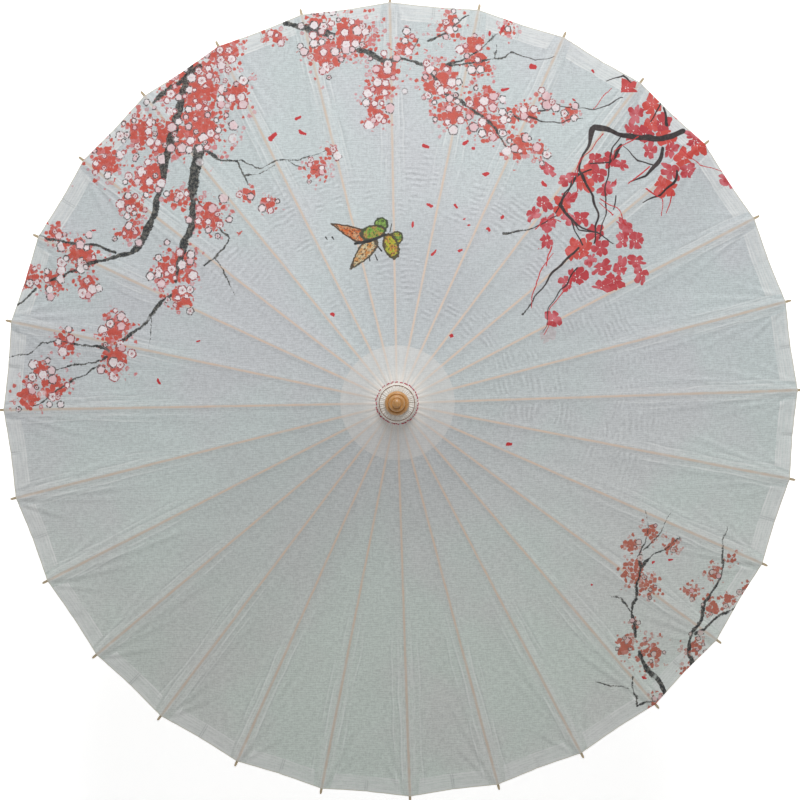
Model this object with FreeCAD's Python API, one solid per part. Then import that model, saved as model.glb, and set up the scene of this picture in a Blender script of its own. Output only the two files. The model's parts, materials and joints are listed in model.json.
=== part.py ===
import FreeCAD, Part
import math
import os

# All lengths are millimetres and all angles are degrees.
# The origin is the middle of the hand grip and +Z runs up the shaft.

# Folding frame: each rib and its stretcher are two equal links
RIB_COUNT = 28
PIVOT_RADIUS = 15.0
LINK = 200.0
OPEN_ANGLE = 70.0
TOP_PIVOT_Z = 492.0
RUNNER_PIVOT_Z = TOP_PIVOT_Z - 2 * LINK * math.cos(math.radians(OPEN_ANGLE))

# Rib, in its own frame: x along it from the top pivot, y across, z to the cloth
RIB_BODY_START = 6.0
RIB_END = 432.0
RIB_UNDER = 0.7
RIB_TOP = 4.7
RIB_HEAD_WIDTH = 3.0
RIB_MID_WIDTH = 3.6
RIB_TIP_WIDTH = 2.6
RIB_TIP_CHAMFER = 0.7
DROOP_RADIUS = 3368.0
LUG_RADIUS = 2.1
LUG_WIDTH = 4.4
LUG_TOP = 3.0
LUG_SLOT_WIDTH = 1.8
LUG_SLOT_TOP = 2.5
LUG_SLOT_INNER = 5.0
LUG_SLOT_OUTER = 3.0

# Stretcher, in its own frame: x along it from the runner pivot, z to the shaft
STRETCHER_BODY_START = 7.0
STRETCHER_BODY_END = 192.0
STRETCHER_THICKNESS = 2.6
STRETCHER_LOW_WIDTH = 2.2
STRETCHER_HIGH_WIDTH = 3.2

# Tongues and pins of the pivots
TONGUE_WIDTH = 1.6
BOSS_RADIUS = 1.7
WIRE_RADIUS = 0.5
WIRE_FIT = 0.02
TONGUE_HOLE_RADIUS = 0.57
PIN_RADIUS = 0.55
PIN_LENGTH = 4.2
PIN_HOLE_RADIUS = 0.62

# Slotted crowns of the top notch and of the runner
CROWN_RADIUS = 18.5
CROWN_HALF_HEIGHT = 4.5
SLOT_WIDTH = 1.85
SLOT_FLOOR_RADIUS = 11.8

# Shaft and the parts fixed to it
SHAFT_RADIUS = 7.0
SHAFT_BOTTOM = -45.0
SHAFT_TOP = 516.0
GLUE_GAP = 0.02
GRIP_RADIUS = 9.0
GRIP_HALF_LENGTH = 45.0
GRIP_END = -52.0
GRIP_BEAD_TOP = 51.0
GRIP_BEAD_RADIUS = 10.0
NOTCH_NECK_RADIUS = 11.0
NOTCH_NECK_BOTTOM = TOP_PIVOT_Z - 16.0
DRUM_RADIUS = 19.0
DRUM_BOTTOM = TOP_PIVOT_Z + 5.4
DRUM_TOP = TOP_PIVOT_Z + 14.0
FINIAL_BASE = TOP_PIVOT_Z + 17.2
FINIAL_RADIUS = 12.3

# Runner
RUNNER_BORE = 7.3
RUNNER_SLEEVE_RADIUS = 11.0
RUNNER_SLEEVE_LENGTH = 26.0
RUNNER_LIP_RADIUS = 12.5
RUNNER_LIP_HEIGHT = 4.0

# Spring catch that holds the runner up
CATCH_PIVOT_X = 4.6
CATCH_PIVOT_Z = 287.0
CATCH_TOP = RUNNER_PIVOT_Z - CROWN_HALF_HEIGHT - RUNNER_SLEEVE_LENGTH - 0.5
CATCH_REACH = 10.5
CATCH_WIDTH = 2.6
CATCH_FOOT_RADIUS = 1.3
CATCH_SLOT_WIDTH = 3.2
CATCH_SLOT_FLOOR = 0.5

# Canopy
CLOTH_GAP = 0.4
CLOTH_THICKNESS = 0.6
CLOTH_INNER_RADIUS = 20.6
CLOTH_EDGE_ANGLE = 3.83
CLOTH_DROOP_STEPS = 6

ORIGIN = FreeCAD.Vector(0, 0, 0)
ACROSS = FreeCAD.Vector(0, 1, 0)
UP = FreeCAD.Vector(0, 0, 1)


def azimuth(index):
    return index * 360.0 / RIB_COUNT


def save(shape, name):
    shape.exportStep("parts/" + name + ".step")


def turned(profile):
    """Solid of revolution about the shaft, from (radius, height) corners."""
    points = [FreeCAD.Vector(radius, 0, height) for radius, height in profile]
    wire = Part.makePolygon(points + points[:1])
    return Part.Face(wire).revolve(ORIGIN, UP, 360)


def ring(inner, outer, bottom, top):
    return turned([(inner, bottom), (outer, bottom), (outer, top), (inner, top)])


def block(x_low, x_high, width, z_low, z_high):
    """Box centred across the local y axis."""
    corner = FreeCAD.Vector(x_low, -width / 2, z_low)
    return Part.makeBox(x_high - x_low, width, z_high - z_low, corner)


def cross_rod(x, z, radius, length):
    """Cylinder lying across the piece, centred on its middle plane."""
    return Part.makeCylinder(radius, length, FreeCAD.Vector(x, -length / 2, z), ACROSS)


def set_in_frame(shape, pivot_z, tilt, index):
    """Carry a piece from its own frame to its place on the open umbrella."""
    shape = shape.copy()
    shape.rotate(ORIGIN, ACROSS, tilt)
    shape.translate(FreeCAD.Vector(PIVOT_RADIUS, 0, pivot_z))
    shape.rotate(ORIGIN, UP, azimuth(index))
    return shape


def taper(stations):
    """Tall block whose width follows (x, width) stations."""
    near = [FreeCAD.Vector(x, -width / 2, -30) for x, width in stations]
    far = [FreeCAD.Vector(x, width / 2, -30) for x, width in reversed(stations)]
    wire = Part.makePolygon(near + far + near[:1])
    return Part.Face(wire).extrude(FreeCAD.Vector(0, 0, 60))


def droop_point(lift, angle):
    """Point over the drooping outer half, lift above the line of pivots."""
    radius = DROOP_RADIUS + lift
    x = LINK + radius * math.sin(math.radians(angle))
    z = radius * math.cos(math.radians(angle)) - DROOP_RADIUS
    return FreeCAD.Vector(x, 0, z)


def rib_profile():
    """Side view of the rib: straight to the middle pivot, then drooping."""
    end_angle = math.degrees(math.asin((RIB_END - LINK) / DROOP_RADIUS))
    under = [droop_point(RIB_UNDER, end_angle * part / 2) for part in range(3)]
    top = [droop_point(RIB_TOP, end_angle * part / 2) for part in range(3)]
    head_under = FreeCAD.Vector(RIB_BODY_START, 0, RIB_UNDER)
    head_top = FreeCAD.Vector(RIB_BODY_START, 0, RIB_TOP)
    edges = [
        Part.makeLine(head_under, under[0]),
        Part.Arc(*under).toShape(),
        Part.makeLine(under[2], top[2]),
        Part.Arc(top[2], top[1], top[0]).toShape(),
        Part.makeLine(top[0], head_top),
        Part.makeLine(head_top, head_under),
    ]
    return Part.Face(Part.Wire(edges))


def make_rib():
    """Bamboo rib with its top tongue, and the lug and pin for its stretcher."""
    half = RIB_MID_WIDTH / 2
    side = rib_profile()
    side.translate(FreeCAD.Vector(0, -half, 0))
    bar = side.extrude(FreeCAD.Vector(0, RIB_MID_WIDTH, 0))
    plan = taper([
        (RIB_BODY_START - 1, RIB_HEAD_WIDTH),
        (LINK - 10, RIB_MID_WIDTH),
        (LINK + 10, RIB_MID_WIDTH),
        (RIB_END - 2, RIB_TIP_WIDTH),
        (RIB_END + 1, RIB_TIP_WIDTH - 2 * RIB_TIP_CHAMFER),
    ])
    bar = bar.common(plan)
    tongue = block(0, RIB_BODY_START + 3, TONGUE_WIDTH, -1.0, 2.6)
    boss = cross_rod(0, 0, BOSS_RADIUS, TONGUE_WIDTH)
    lug = cross_rod(LINK, 0, LUG_RADIUS, LUG_WIDTH)
    web = block(LINK - LUG_RADIUS, LINK + LUG_RADIUS, LUG_WIDTH, 0, LUG_TOP)
    rib = bar.multiFuse([tongue, boss, lug, web])
    slot_low = LINK - LUG_SLOT_INNER
    slot_high = LINK + LUG_SLOT_OUTER
    slot = block(slot_low, slot_high, LUG_SLOT_WIDTH, -3, LUG_SLOT_TOP)
    wire_hole = cross_rod(0, 0, TONGUE_HOLE_RADIUS, 4)
    pin_hole = cross_rod(LINK, 0, PIN_RADIUS + WIRE_FIT, 10)
    rib = rib.cut(slot).cut(wire_hole).cut(pin_hole)
    pin = cross_rod(LINK, 0, PIN_RADIUS, PIN_LENGTH)
    return Part.makeCompound([rib.removeSplitter(), pin])


def make_stretcher():
    """Bamboo stretcher with a tongue at each end."""
    wide = STRETCHER_HIGH_WIDTH
    bar = block(STRETCHER_BODY_START, STRETCHER_BODY_END, wide, 0, STRETCHER_THICKNESS)
    plan = taper([
        (STRETCHER_BODY_START - 1, STRETCHER_LOW_WIDTH),
        (STRETCHER_BODY_END + 1, STRETCHER_HIGH_WIDTH),
    ])
    bar = bar.common(plan)
    tongue = block(0, LINK, TONGUE_WIDTH, 0, 2.2)
    low_boss = cross_rod(0, 0, BOSS_RADIUS, TONGUE_WIDTH)
    high_boss = cross_rod(LINK, 0, BOSS_RADIUS, TONGUE_WIDTH)
    stretcher = bar.multiFuse([tongue, low_boss, high_boss])
    wire_hole = cross_rod(0, 0, TONGUE_HOLE_RADIUS, 4)
    pin_hole = cross_rod(LINK, 0, PIN_HOLE_RADIUS, 4)
    return stretcher.cut(wire_hole).cut(pin_hole).removeSplitter()


def slotted(blank, pivot_z):
    """Cut the radial slots and the hinge wire's channel into a crown."""
    low = pivot_z - CROWN_HALF_HEIGHT - 1
    high = pivot_z + CROWN_HALF_HEIGHT + 1
    cutters = []
    for index in range(RIB_COUNT):
        slot = block(SLOT_FLOOR_RADIUS, CROWN_RADIUS + 2, SLOT_WIDTH, low, high)
        slot.rotate(ORIGIN, UP, azimuth(index))
        cutters.append(slot)
    centre = FreeCAD.Vector(0, 0, pivot_z)
    cutters.append(Part.makeTorus(PIVOT_RADIUS, WIRE_RADIUS + WIRE_FIT, centre, UP))
    return blank.cut(Part.makeCompound(cutters))


def hinge_wire(pivot_z):
    centre = FreeCAD.Vector(0, 0, pivot_z)
    return Part.makeTorus(PIVOT_RADIUS, WIRE_RADIUS, centre, UP)


def make_notch():
    """Top crown, glued to the shaft, that every rib hangs from."""
    bore = SHAFT_RADIUS + GLUE_GAP
    low = TOP_PIVOT_Z - CROWN_HALF_HEIGHT
    high = TOP_PIVOT_Z + CROWN_HALF_HEIGHT
    blank = turned([
        (bore, NOTCH_NECK_BOTTOM),
        (NOTCH_NECK_RADIUS - 1, NOTCH_NECK_BOTTOM),
        (NOTCH_NECK_RADIUS, NOTCH_NECK_BOTTOM + 1),
        (NOTCH_NECK_RADIUS, low),
        (CROWN_RADIUS - 0.5, low),
        (CROWN_RADIUS, low + 0.5),
        (CROWN_RADIUS, high - 0.5),
        (CROWN_RADIUS - 0.5, high),
        (bore, high),
    ])
    return slotted(blank, TOP_PIVOT_Z)


def make_rod():
    """Bamboo rod with the slot that the spring catch sinks into."""
    rod = turned([
        (0, SHAFT_BOTTOM),
        (SHAFT_RADIUS, SHAFT_BOTTOM),
        (SHAFT_RADIUS, SHAFT_TOP - 1),
        (SHAFT_RADIUS - 1, SHAFT_TOP),
        (0, SHAFT_TOP),
    ])
    low = CATCH_PIVOT_Z - CATCH_FOOT_RADIUS - 1
    high = CATCH_TOP + 1.5
    slot = block(CATCH_SLOT_FLOOR, SHAFT_RADIUS + 2, CATCH_SLOT_WIDTH, low, high)
    return rod.cut(slot)


def make_grip():
    """Turned hand grip closed over the foot of the rod."""
    bore = SHAFT_RADIUS + GLUE_GAP
    return turned([
        (0, GRIP_END),
        (5.0, GRIP_END),
        (7.6, GRIP_END + 1.6),
        (8.7, GRIP_END + 4.2),
        (GRIP_RADIUS, -GRIP_HALF_LENGTH),
        (GRIP_RADIUS, GRIP_HALF_LENGTH),
        (GRIP_BEAD_RADIUS - 0.3, GRIP_HALF_LENGTH + 0.8),
        (GRIP_BEAD_RADIUS, GRIP_HALF_LENGTH + 2.4),
        (GRIP_BEAD_RADIUS - 0.3, GRIP_HALF_LENGTH + 4.0),
        (8.4, GRIP_BEAD_TOP),
        (bore, GRIP_BEAD_TOP),
        (bore, SHAFT_BOTTOM - GLUE_GAP),
        (0, SHAFT_BOTTOM - GLUE_GAP),
    ])


def make_drum():
    """Padded cap over the top notch, drawn in under the finial."""
    bore = SHAFT_RADIUS + GLUE_GAP
    return turned([
        (bore, DRUM_BOTTOM),
        (DRUM_RADIUS, DRUM_BOTTOM),
        (DRUM_RADIUS, DRUM_TOP - 0.8),
        (DRUM_RADIUS - 0.8, DRUM_TOP),
        (15.5, DRUM_TOP + 1.6),
        (11.5, FINIAL_BASE - 0.1),
        (bore, FINIAL_BASE - 0.1),
    ])


def make_finial():
    """Turned wooden knob glued over the head of the rod."""
    bore = SHAFT_RADIUS + GLUE_GAP
    base = FINIAL_BASE
    return turned([
        (bore, base),
        (11.2, base),
        (12.0, base + 1.0),
        (FINIAL_RADIUS, base + 2.6),
        (11.9, base + 4.4),
        (10.6, base + 6.2),
        (8.6, base + 7.4),
        (7.8, base + 7.6),
        (8.0, base + 9.0),
        (7.6, base + 11.0),
        (6.2, base + 12.8),
        (4.4, base + 13.6),
        (4.2, base + 15.4),
        (3.2, base + 16.8),
        (1.6, base + 17.5),
        (0, base + 17.6),
        (0, SHAFT_TOP + 0.1),
        (bore, SHAFT_TOP + 0.1),
    ])


def make_shaft():
    """Everything fixed to the shaft, each piece its own solid."""
    return Part.makeCompound([
        make_rod(),
        make_grip(),
        make_notch(),
        hinge_wire(TOP_PIVOT_Z),
        make_drum(),
        make_finial(),
    ])


def make_runner():
    """Sliding crown and sleeve, with the wire that its stretchers turn on."""
    low = RUNNER_PIVOT_Z - CROWN_HALF_HEIGHT
    high = RUNNER_PIVOT_Z + CROWN_HALF_HEIGHT
    foot = low - RUNNER_SLEEVE_LENGTH
    blank = turned([
        (RUNNER_BORE, foot),
        (RUNNER_LIP_RADIUS - 0.8, foot),
        (RUNNER_LIP_RADIUS, foot + 0.8),
        (RUNNER_LIP_RADIUS, foot + RUNNER_LIP_HEIGHT - 0.8),
        (RUNNER_SLEEVE_RADIUS, foot + RUNNER_LIP_HEIGHT),
        (RUNNER_SLEEVE_RADIUS, low),
        (CROWN_RADIUS - 0.5, low),
        (CROWN_RADIUS, low + 0.5),
        (CROWN_RADIUS, high - 0.5),
        (CROWN_RADIUS - 0.5, high),
        (RUNNER_BORE, high),
    ])
    return Part.makeCompound([slotted(blank, RUNNER_PIVOT_Z), hinge_wire(RUNNER_PIVOT_Z)])


def make_catch():
    """Split-bamboo spring: rounded foot in the shaft, nose under the runner."""
    foot_x = CATCH_PIVOT_X - CATCH_FOOT_RADIUS
    corners = [
        (foot_x, CATCH_PIVOT_Z),
        (CATCH_PIVOT_X + CATCH_FOOT_RADIUS, CATCH_PIVOT_Z),
        (CATCH_REACH, CATCH_TOP - 3.0),
        (CATCH_REACH, CATCH_TOP),
        (CATCH_REACH - 2.6, CATCH_TOP),
        (CATCH_REACH - 2.9, CATCH_TOP - 3.0),
    ]
    points = [FreeCAD.Vector(x, -CATCH_WIDTH / 2, z) for x, z in corners]
    face = Part.Face(Part.makePolygon(points + points[:1]))
    blade = face.extrude(FreeCAD.Vector(0, CATCH_WIDTH, 0))
    foot = cross_rod(CATCH_PIVOT_X, CATCH_PIVOT_Z, CATCH_FOOT_RADIUS, CATCH_WIDTH)
    return blade.fuse(foot).removeSplitter()


def cloth_line(lift):
    """Stations along the cloth above a rib, from the crown to the edge."""
    tilt = math.radians(90 - OPEN_ANGLE)
    reach = CLOTH_INNER_RADIUS - PIVOT_RADIUS - lift * math.sin(tilt)
    line = [FreeCAD.Vector(reach / math.cos(tilt), 0, lift)]
    for step in range(CLOTH_DROOP_STEPS + 1):
        line.append(droop_point(lift, CLOTH_EDGE_ANGLE * step / CLOTH_DROOP_STEPS))
    return line


def make_canopy():
    """Cloth cover: one gore between each pair of ribs, joined into one shell."""
    lower = cloth_line(RIB_TOP + CLOTH_GAP)
    upper = cloth_line(RIB_TOP + CLOTH_GAP + CLOTH_THICKNESS)
    outline = lower + upper[::-1]
    section = Part.makePolygon(outline + outline[:1])
    tilt = 90 - OPEN_ANGLE
    gores = []
    for index in range(RIB_COUNT):
        here = set_in_frame(section, TOP_PIVOT_Z, tilt, index)
        there = set_in_frame(section, TOP_PIVOT_Z, tilt, index + 1)
        gores.append(Part.makeLoft([here, there], True, True))
    return gores[0].multiFuse(gores[1:]).removeSplitter()


def main():
    os.makedirs("parts", exist_ok=True)
    tilt = 90 - OPEN_ANGLE
    save(make_shaft(), "shaft")
    save(make_runner(), "runner")
    save(make_catch(), "catch")
    save(make_canopy(), "canopy")
    rib = make_rib()
    stretcher = make_stretcher()
    for index in range(RIB_COUNT):
        number = "%02d" % (index + 1)
        save(set_in_frame(rib, TOP_PIVOT_Z, tilt, index), "rib_" + number)
        save(set_in_frame(stretcher, RUNNER_PIVOT_Z, -tilt, index), "stretcher_" + number)


main()
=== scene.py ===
import json
import math

import bmesh
import bpy
import numpy as np
from mathutils import Matrix, Vector

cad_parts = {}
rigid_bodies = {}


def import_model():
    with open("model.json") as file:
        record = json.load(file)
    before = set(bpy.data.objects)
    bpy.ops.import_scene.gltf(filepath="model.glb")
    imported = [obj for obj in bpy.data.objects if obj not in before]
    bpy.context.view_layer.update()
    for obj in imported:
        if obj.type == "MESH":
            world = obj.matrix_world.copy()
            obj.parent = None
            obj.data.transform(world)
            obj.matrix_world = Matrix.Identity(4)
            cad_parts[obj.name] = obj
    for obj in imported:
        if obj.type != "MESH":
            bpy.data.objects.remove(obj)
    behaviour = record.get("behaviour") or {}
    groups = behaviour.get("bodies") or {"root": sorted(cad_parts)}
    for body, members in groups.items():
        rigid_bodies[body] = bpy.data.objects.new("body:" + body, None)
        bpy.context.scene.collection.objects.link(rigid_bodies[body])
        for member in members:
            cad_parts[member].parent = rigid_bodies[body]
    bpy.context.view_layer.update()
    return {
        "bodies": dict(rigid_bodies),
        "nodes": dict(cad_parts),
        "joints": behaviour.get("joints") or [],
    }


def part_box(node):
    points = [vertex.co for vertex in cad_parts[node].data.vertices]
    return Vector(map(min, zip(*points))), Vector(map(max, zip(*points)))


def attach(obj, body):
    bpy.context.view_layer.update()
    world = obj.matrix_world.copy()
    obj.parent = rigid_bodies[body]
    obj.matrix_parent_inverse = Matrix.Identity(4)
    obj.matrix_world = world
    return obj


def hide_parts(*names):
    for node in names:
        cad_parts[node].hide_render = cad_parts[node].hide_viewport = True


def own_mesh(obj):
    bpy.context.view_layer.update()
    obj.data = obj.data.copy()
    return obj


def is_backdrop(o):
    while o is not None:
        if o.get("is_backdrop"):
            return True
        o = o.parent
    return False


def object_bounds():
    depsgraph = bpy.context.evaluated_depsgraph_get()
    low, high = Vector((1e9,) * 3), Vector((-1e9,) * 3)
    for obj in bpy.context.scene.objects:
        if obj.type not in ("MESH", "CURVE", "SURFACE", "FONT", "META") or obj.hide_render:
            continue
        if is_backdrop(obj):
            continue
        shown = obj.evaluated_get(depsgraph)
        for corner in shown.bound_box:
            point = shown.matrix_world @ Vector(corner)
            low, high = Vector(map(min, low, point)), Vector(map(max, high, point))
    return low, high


bl_info = {
    "name": "Oil paper umbrella",
    "version": (1, 0, 0),
    "blender": (4, 5, 0),
    "location": "View3D > Sidebar > Umbrella",
    "description": "Builds a painted oil paper umbrella around its packed frame",
    "category": "Add Mesh",
}

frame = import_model()

# ---------------------------------------------------------------- the frame's sizes, in metres
JOINTS = {joint["name"]: joint for joint in frame["joints"]}
TOP_PIVOT = JOINTS["rib_01_hinge"]["pos_m"]
MID_PIVOT = JOINTS["stretcher_01_hinge"]["pos_m"]
RIB_COUNT = sum(1 for name in frame["bodies"] if name.startswith("rib_"))
PITCH = 2 * math.pi / RIB_COUNT
PIVOT_RADIUS = TOP_PIVOT[0]
PIVOT_HEIGHT = TOP_PIVOT[2]
LINK = math.hypot(MID_PIVOT[0] - TOP_PIVOT[0], MID_PIVOT[2] - TOP_PIVOT[2])
RIB_OUT = (MID_PIVOT[0] - TOP_PIVOT[0]) / LINK
RIB_DOWN = (TOP_PIVOT[2] - MID_PIVOT[2]) / LINK
RIM_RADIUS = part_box("rib_01")[1][0]
DROOP_RADIUS = 3.368
DROOP_ANGLE = math.radians(3.83)

# ---------------------------------------------------------------- the cloth
CLOTH_LIFT = 0.00512
CLOTH_START = 0.0027
CLOTH_END = LINK + DROOP_RADIUS * DROOP_ANGLE
HEM_WIDTH = 0.0190
STRIP_HALF = 0.0019
CROWN_PATCH_END = 0.0438
FOLD_LEAN = math.radians(8.3)
ALONG_CELLS = 140
ACROSS_CELLS = 20
STRIP_CELLS = 4
AREA_SPOTS = 40
NORMAL_STEP = 6e-4
# Folds from a rib's tip: angle off the rib, depth, length. Drag lines: distance from the rib, depth.
TIP_FOLDS = (0.10, 0.00062, 0.130), (0.22, 0.00085, 0.090), (0.44, 0.00080, 0.050)
DRAG_LINES = (0.0068, 0.00044), (0.0118, 0.00032)
SAG, RIB_STEP, HEM_LIFT, PLEAT_DEPTH = 0.0011, 0.00036, 0.00030, 0.00055
PATCH_LIFT, GATHER_HEIGHT, BROAD_HEIGHT, EDGE_PULL = 0.00026, 0.00028, 0.00030, 0.0006
CAMERA_ROLL = 1.45

# ---------------------------------------------------------------- the head and the grip, in metres
FINIAL_BASE = PIVOT_HEIGHT + 0.0172
# Profiles are (radius, height) points. The finial's and the cap's heights count from the finial's base.
GRIP_PROFILE = (
    (0.0, -0.0520), (0.0052, -0.0519), (0.0077, -0.0500), (0.0088, -0.0475), (0.0090, -0.0440),
    (0.0090, -0.0300), (0.0090, 0.0000), (0.0090, 0.0300), (0.0090, 0.0440), (0.0096, 0.0456),
    (0.0100, 0.0474), (0.0096, 0.0492), (0.0086, 0.0508), (0.0071, 0.0511))
ROD_JOINT_PROFILE = (
    (0.00695, -0.0022), (0.00712, -0.0010), (0.00722, 0.0), (0.00712, 0.0010), (0.00695, 0.0022))
ROD_JOINT_HEIGHTS = (0.118, 0.214, 0.268)
FINIAL_PROFILE = (
    (0.0, 0.0), (0.0108, 0.0), (0.0119, 0.0010), (0.0123, 0.0026), (0.0118, 0.0044), (0.0106, 0.0058),
    (0.0096, 0.0061), (0.0088, 0.0054), (0.0078, 0.0056), (0.0078, 0.0072), (0.0085, 0.0090),
    (0.0083, 0.0106), (0.0073, 0.0121), (0.0060, 0.0126), (0.0052, 0.0120), (0.0043, 0.0122),
    (0.0041, 0.0140), (0.0044, 0.0152), (0.0036, 0.0168), (0.0018, 0.0175), (0.0, 0.0176))
CAP_PROFILE = (
    (0.0095, -0.0004), (0.0115, -0.0004), (0.0150, -0.0012), (0.0178, -0.0028), (0.0188, -0.0042),
    (0.0191, -0.0070), (0.0191, -0.0112), (0.0196, -0.0127), (0.0203, -0.0131))
CAP_STEPS = 230
CAP_FLAT_RADIUS = 0.0186
CAP_FOLD = 0.00038
CAP_WALL = 0.0004
RING_RADIUS = 0.0178
RING_DROP = 0.0024
RING_WIRE = 0.00034
STITCH_RADIUS = 0.0211
STITCH_LIFT = 0.00065
STITCH_HALVES = (0.0011, 0.00050, 0.00042)
STITCH_GAP = 0.22

# ---------------------------------------------------------------- light, floor and camera, in metres
FLOOR_HALF = 12.0
FLOOR_GAP = 0.02
FLOOR_GLOW = 0.55
LAMP_WIDTH = 2.6
LAMP_PLACE = (0.4, 3.6, 3.5)
AIM = (0.0, 0.0, 0.40)
SENSOR_WIDTH = 36.0
RIM_IN_VIEW = 0.9935
CAMERA_LEAN = math.radians(1.5)
LEAN_TOWARDS = (0.70, 0.71)

# ---------------------------------------------------------------- colours
WHITE = (1, 1, 1, 1)
RUNNER_COLOURS = (0.34, 0.17, 0.065), (0.20, 0.09, 0.035)
ROD_COLOURS = (0.46, 0.27, 0.11), (0.30, 0.16, 0.06)
GRIP_COLOURS = (0.26, 0.10, 0.035), (0.13, 0.045, 0.018)
NOTCH_COLOURS = (0.40, 0.22, 0.09), (0.24, 0.12, 0.05)
RING_COLOURS = (0.30, 0.16, 0.10), (0.13, 0.07, 0.05)
WIRE_BRASS = (0.52, 0.42, 0.22, 1)
CAP_DARK, CAP_LIGHT, CAP_STAIN = (0.62, 0.58, 0.52, 1), (0.82, 0.80, 0.76, 1), (0.52, 0.44, 0.34, 1)
BAND_GREY, DULL_GREY = (0.500, 0.515, 0.535, 1), (0.475, 0.490, 0.515, 1)
# painted light for the cloth's lower (-y) side
LOW_SIDE_PAINTED_LIGHT = (1.07, 1.07, 0.995, 1)
CROWN_WHITE, HEAD_STREAK_WHITE = (0.82, 0.79, 0.76, 1), (0.86, 0.83, 0.78, 1)
HEM_WHITE, HEM_LINE = (0.80, 0.81, 0.80, 1), (0.88, 0.88, 0.87, 1)
# painted highlights beside the ribs and along the folds, then painted shade for the folds, the hem crease
# and the rib's edge
RIBSIDE_HIGHLIGHT, FOLD_HIGHLIGHT = (0.86, 0.86, 0.85, 1), (0.90, 0.91, 0.90, 1)
FOLD_SHADE, CREASE_SHADE, RIB_SHADE = (0.33, 0.35, 0.36, 1), (0.33, 0.35, 0.35, 1), (0.34, 0.34, 0.35, 1)
OUTER_RIB, EDGE_TAN = (0.56, 0.51, 0.44, 1), (0.66, 0.62, 0.48, 1)
WORN_INK, BARK_INK = (0.185, 0.178, 0.155, 1), (0.045, 0.030, 0.032, 1)
STEM_RED = (0.58, 0.042, 0.048, 1)
RED_DABS = dict(deep=(0.66, 0.075, 0.040, 1), pale=(0.74, 0.26, 0.30, 1), wash=0.0)
RUST_DABS = dict(deep=(0.52, 0.130, 0.075, 1), pale=(0.62, 0.30, 0.26, 1), wash=-1.0)
BOLD_PAINT = dict(deep=(0.52, 0.030, 0.042, 1), pale=(0.66, 0.17, 0.20, 1))
WHITE_PAINT = dict(petal=(0.86, 0.82, 0.83, 1), outline=(0.36, 0.045, 0.050, 1), amount=0.60)
FADED_PAINT = dict(petal=(0.66, 0.58, 0.54, 1), outline=(0.40, 0.065, 0.040, 1), amount=1.5)
DAB_MIRE, BOLD_ORANGE = (0.16, 0.03, 0.03, 1), (0.70, 0.070, 0.030, 1)
PETAL_TINT, PETAL_SMEAR = (0.72, 0.33, 0.37, 1), (0.70, 0.42, 0.46, 1)
PETAL_LINE, BOLD_SEAM, BOLD_STAMEN = (0.07, 0.055, 0.055, 1), (0.74, 0.42, 0.44, 1), (0.80, 0.76, 0.76, 1)
WING_INK, BODY_INK = (0.035, 0.035, 0.03, 1), (0.03, 0.03, 0.03, 1)

# ---------------------------------------------------------------- the painting's sizes, in mm
DAB_SIZE, RUST_DAB_SIZE = 4.7, 3.9
BOLD_SIZE, BOLD_SHAKE = 18.5, (9.0, 0.055)
WHITE_SIZE, FADED_SIZE = 10.8, 7.0
STROKE_MARGIN = 14.0
FAR = 50.0
BUTTERFLY_PLACE, BUTTERFLY_REACH = (-8.0, 40.4), 52.0


def turn(index):
    """Angle of a rib about the shaft"""
    return index * PITCH


def number(index):
    """A rib's number as it stands in names"""
    return "%02d" % (index % RIB_COUNT + 1)


# ================================================================ settings
class UmbrellaCloth(bpy.types.PropertyGroup):
    """Sizes and colours of the canopy"""
    cool: bpy.props.FloatVectorProperty(
        name="Cool ground", description="Cloth colour over most of the canopy",
        subtype="COLOR", size=3, min=0, max=1, default=(0.590, 0.645, 0.650))
    warm: bpy.props.FloatVectorProperty(
        name="Warm ground", description="Cloth colour in the broad warmer clouds",
        subtype="COLOR", size=3, min=0, max=1, default=(0.598, 0.618, 0.640))
    rib_show: bpy.props.FloatVectorProperty(
        name="Rib line", description="Colour of a rib seen through the cloth",
        subtype="COLOR", size=3, min=0, max=1, default=(0.800, 0.600, 0.460))
    ink: bpy.props.FloatVectorProperty(
        name="Ink", description="Colour of the painted branches",
        subtype="COLOR", size=3, min=0, max=1, default=(0.030, 0.033, 0.036))
    thickness: bpy.props.FloatProperty(
        name="Thickness", description="Thickness of the oiled cloth",
        subtype="DISTANCE", unit="LENGTH", min=0.0001, max=0.001, default=0.00025)


class UmbrellaHead(bpy.types.PropertyGroup):
    """Sizes and colours of the head, the shaft and the thread"""
    wood: bpy.props.FloatVectorProperty(
        name="Finial wood", description="Colour of the turned finial",
        subtype="COLOR", size=3, min=0, max=1, default=(0.540, 0.270, 0.085))
    bamboo: bpy.props.FloatVectorProperty(
        name="Bamboo", description="Colour of the ribs and stretchers",
        subtype="COLOR", size=3, min=0, max=1, default=(0.500, 0.400, 0.260))
    thread: bpy.props.FloatVectorProperty(
        name="Thread", description="Colour of the crimson head stitches",
        subtype="COLOR", size=3, min=0, max=1, default=(0.560, 0.018, 0.075))
    pleats: bpy.props.IntProperty(
        name="Cap pleats", description="Gathers round the cloth cap under the finial",
        min=12, max=80, default=46)


class UmbrellaStage(bpy.types.PropertyGroup):
    """Light, floor and camera"""
    floor: bpy.props.FloatVectorProperty(
        name="Floor", description="Colour of the floor",
        subtype="COLOR", size=3, min=0, max=1, default=(0.9, 0.9, 0.9))
    key: bpy.props.FloatProperty(
        name="Key light", description="Power of the large soft lamp",
        subtype="POWER", unit="POWER", min=0, default=165.0)
    ambient: bpy.props.FloatProperty(
        name="Ambient", description="Strength of the light from all round",
        min=0, default=0.46)
    distance: bpy.props.FloatProperty(
        name="Camera distance", description="From the rim's plane to the camera",
        subtype="DISTANCE", unit="LENGTH", min=1, default=4.0)


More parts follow.
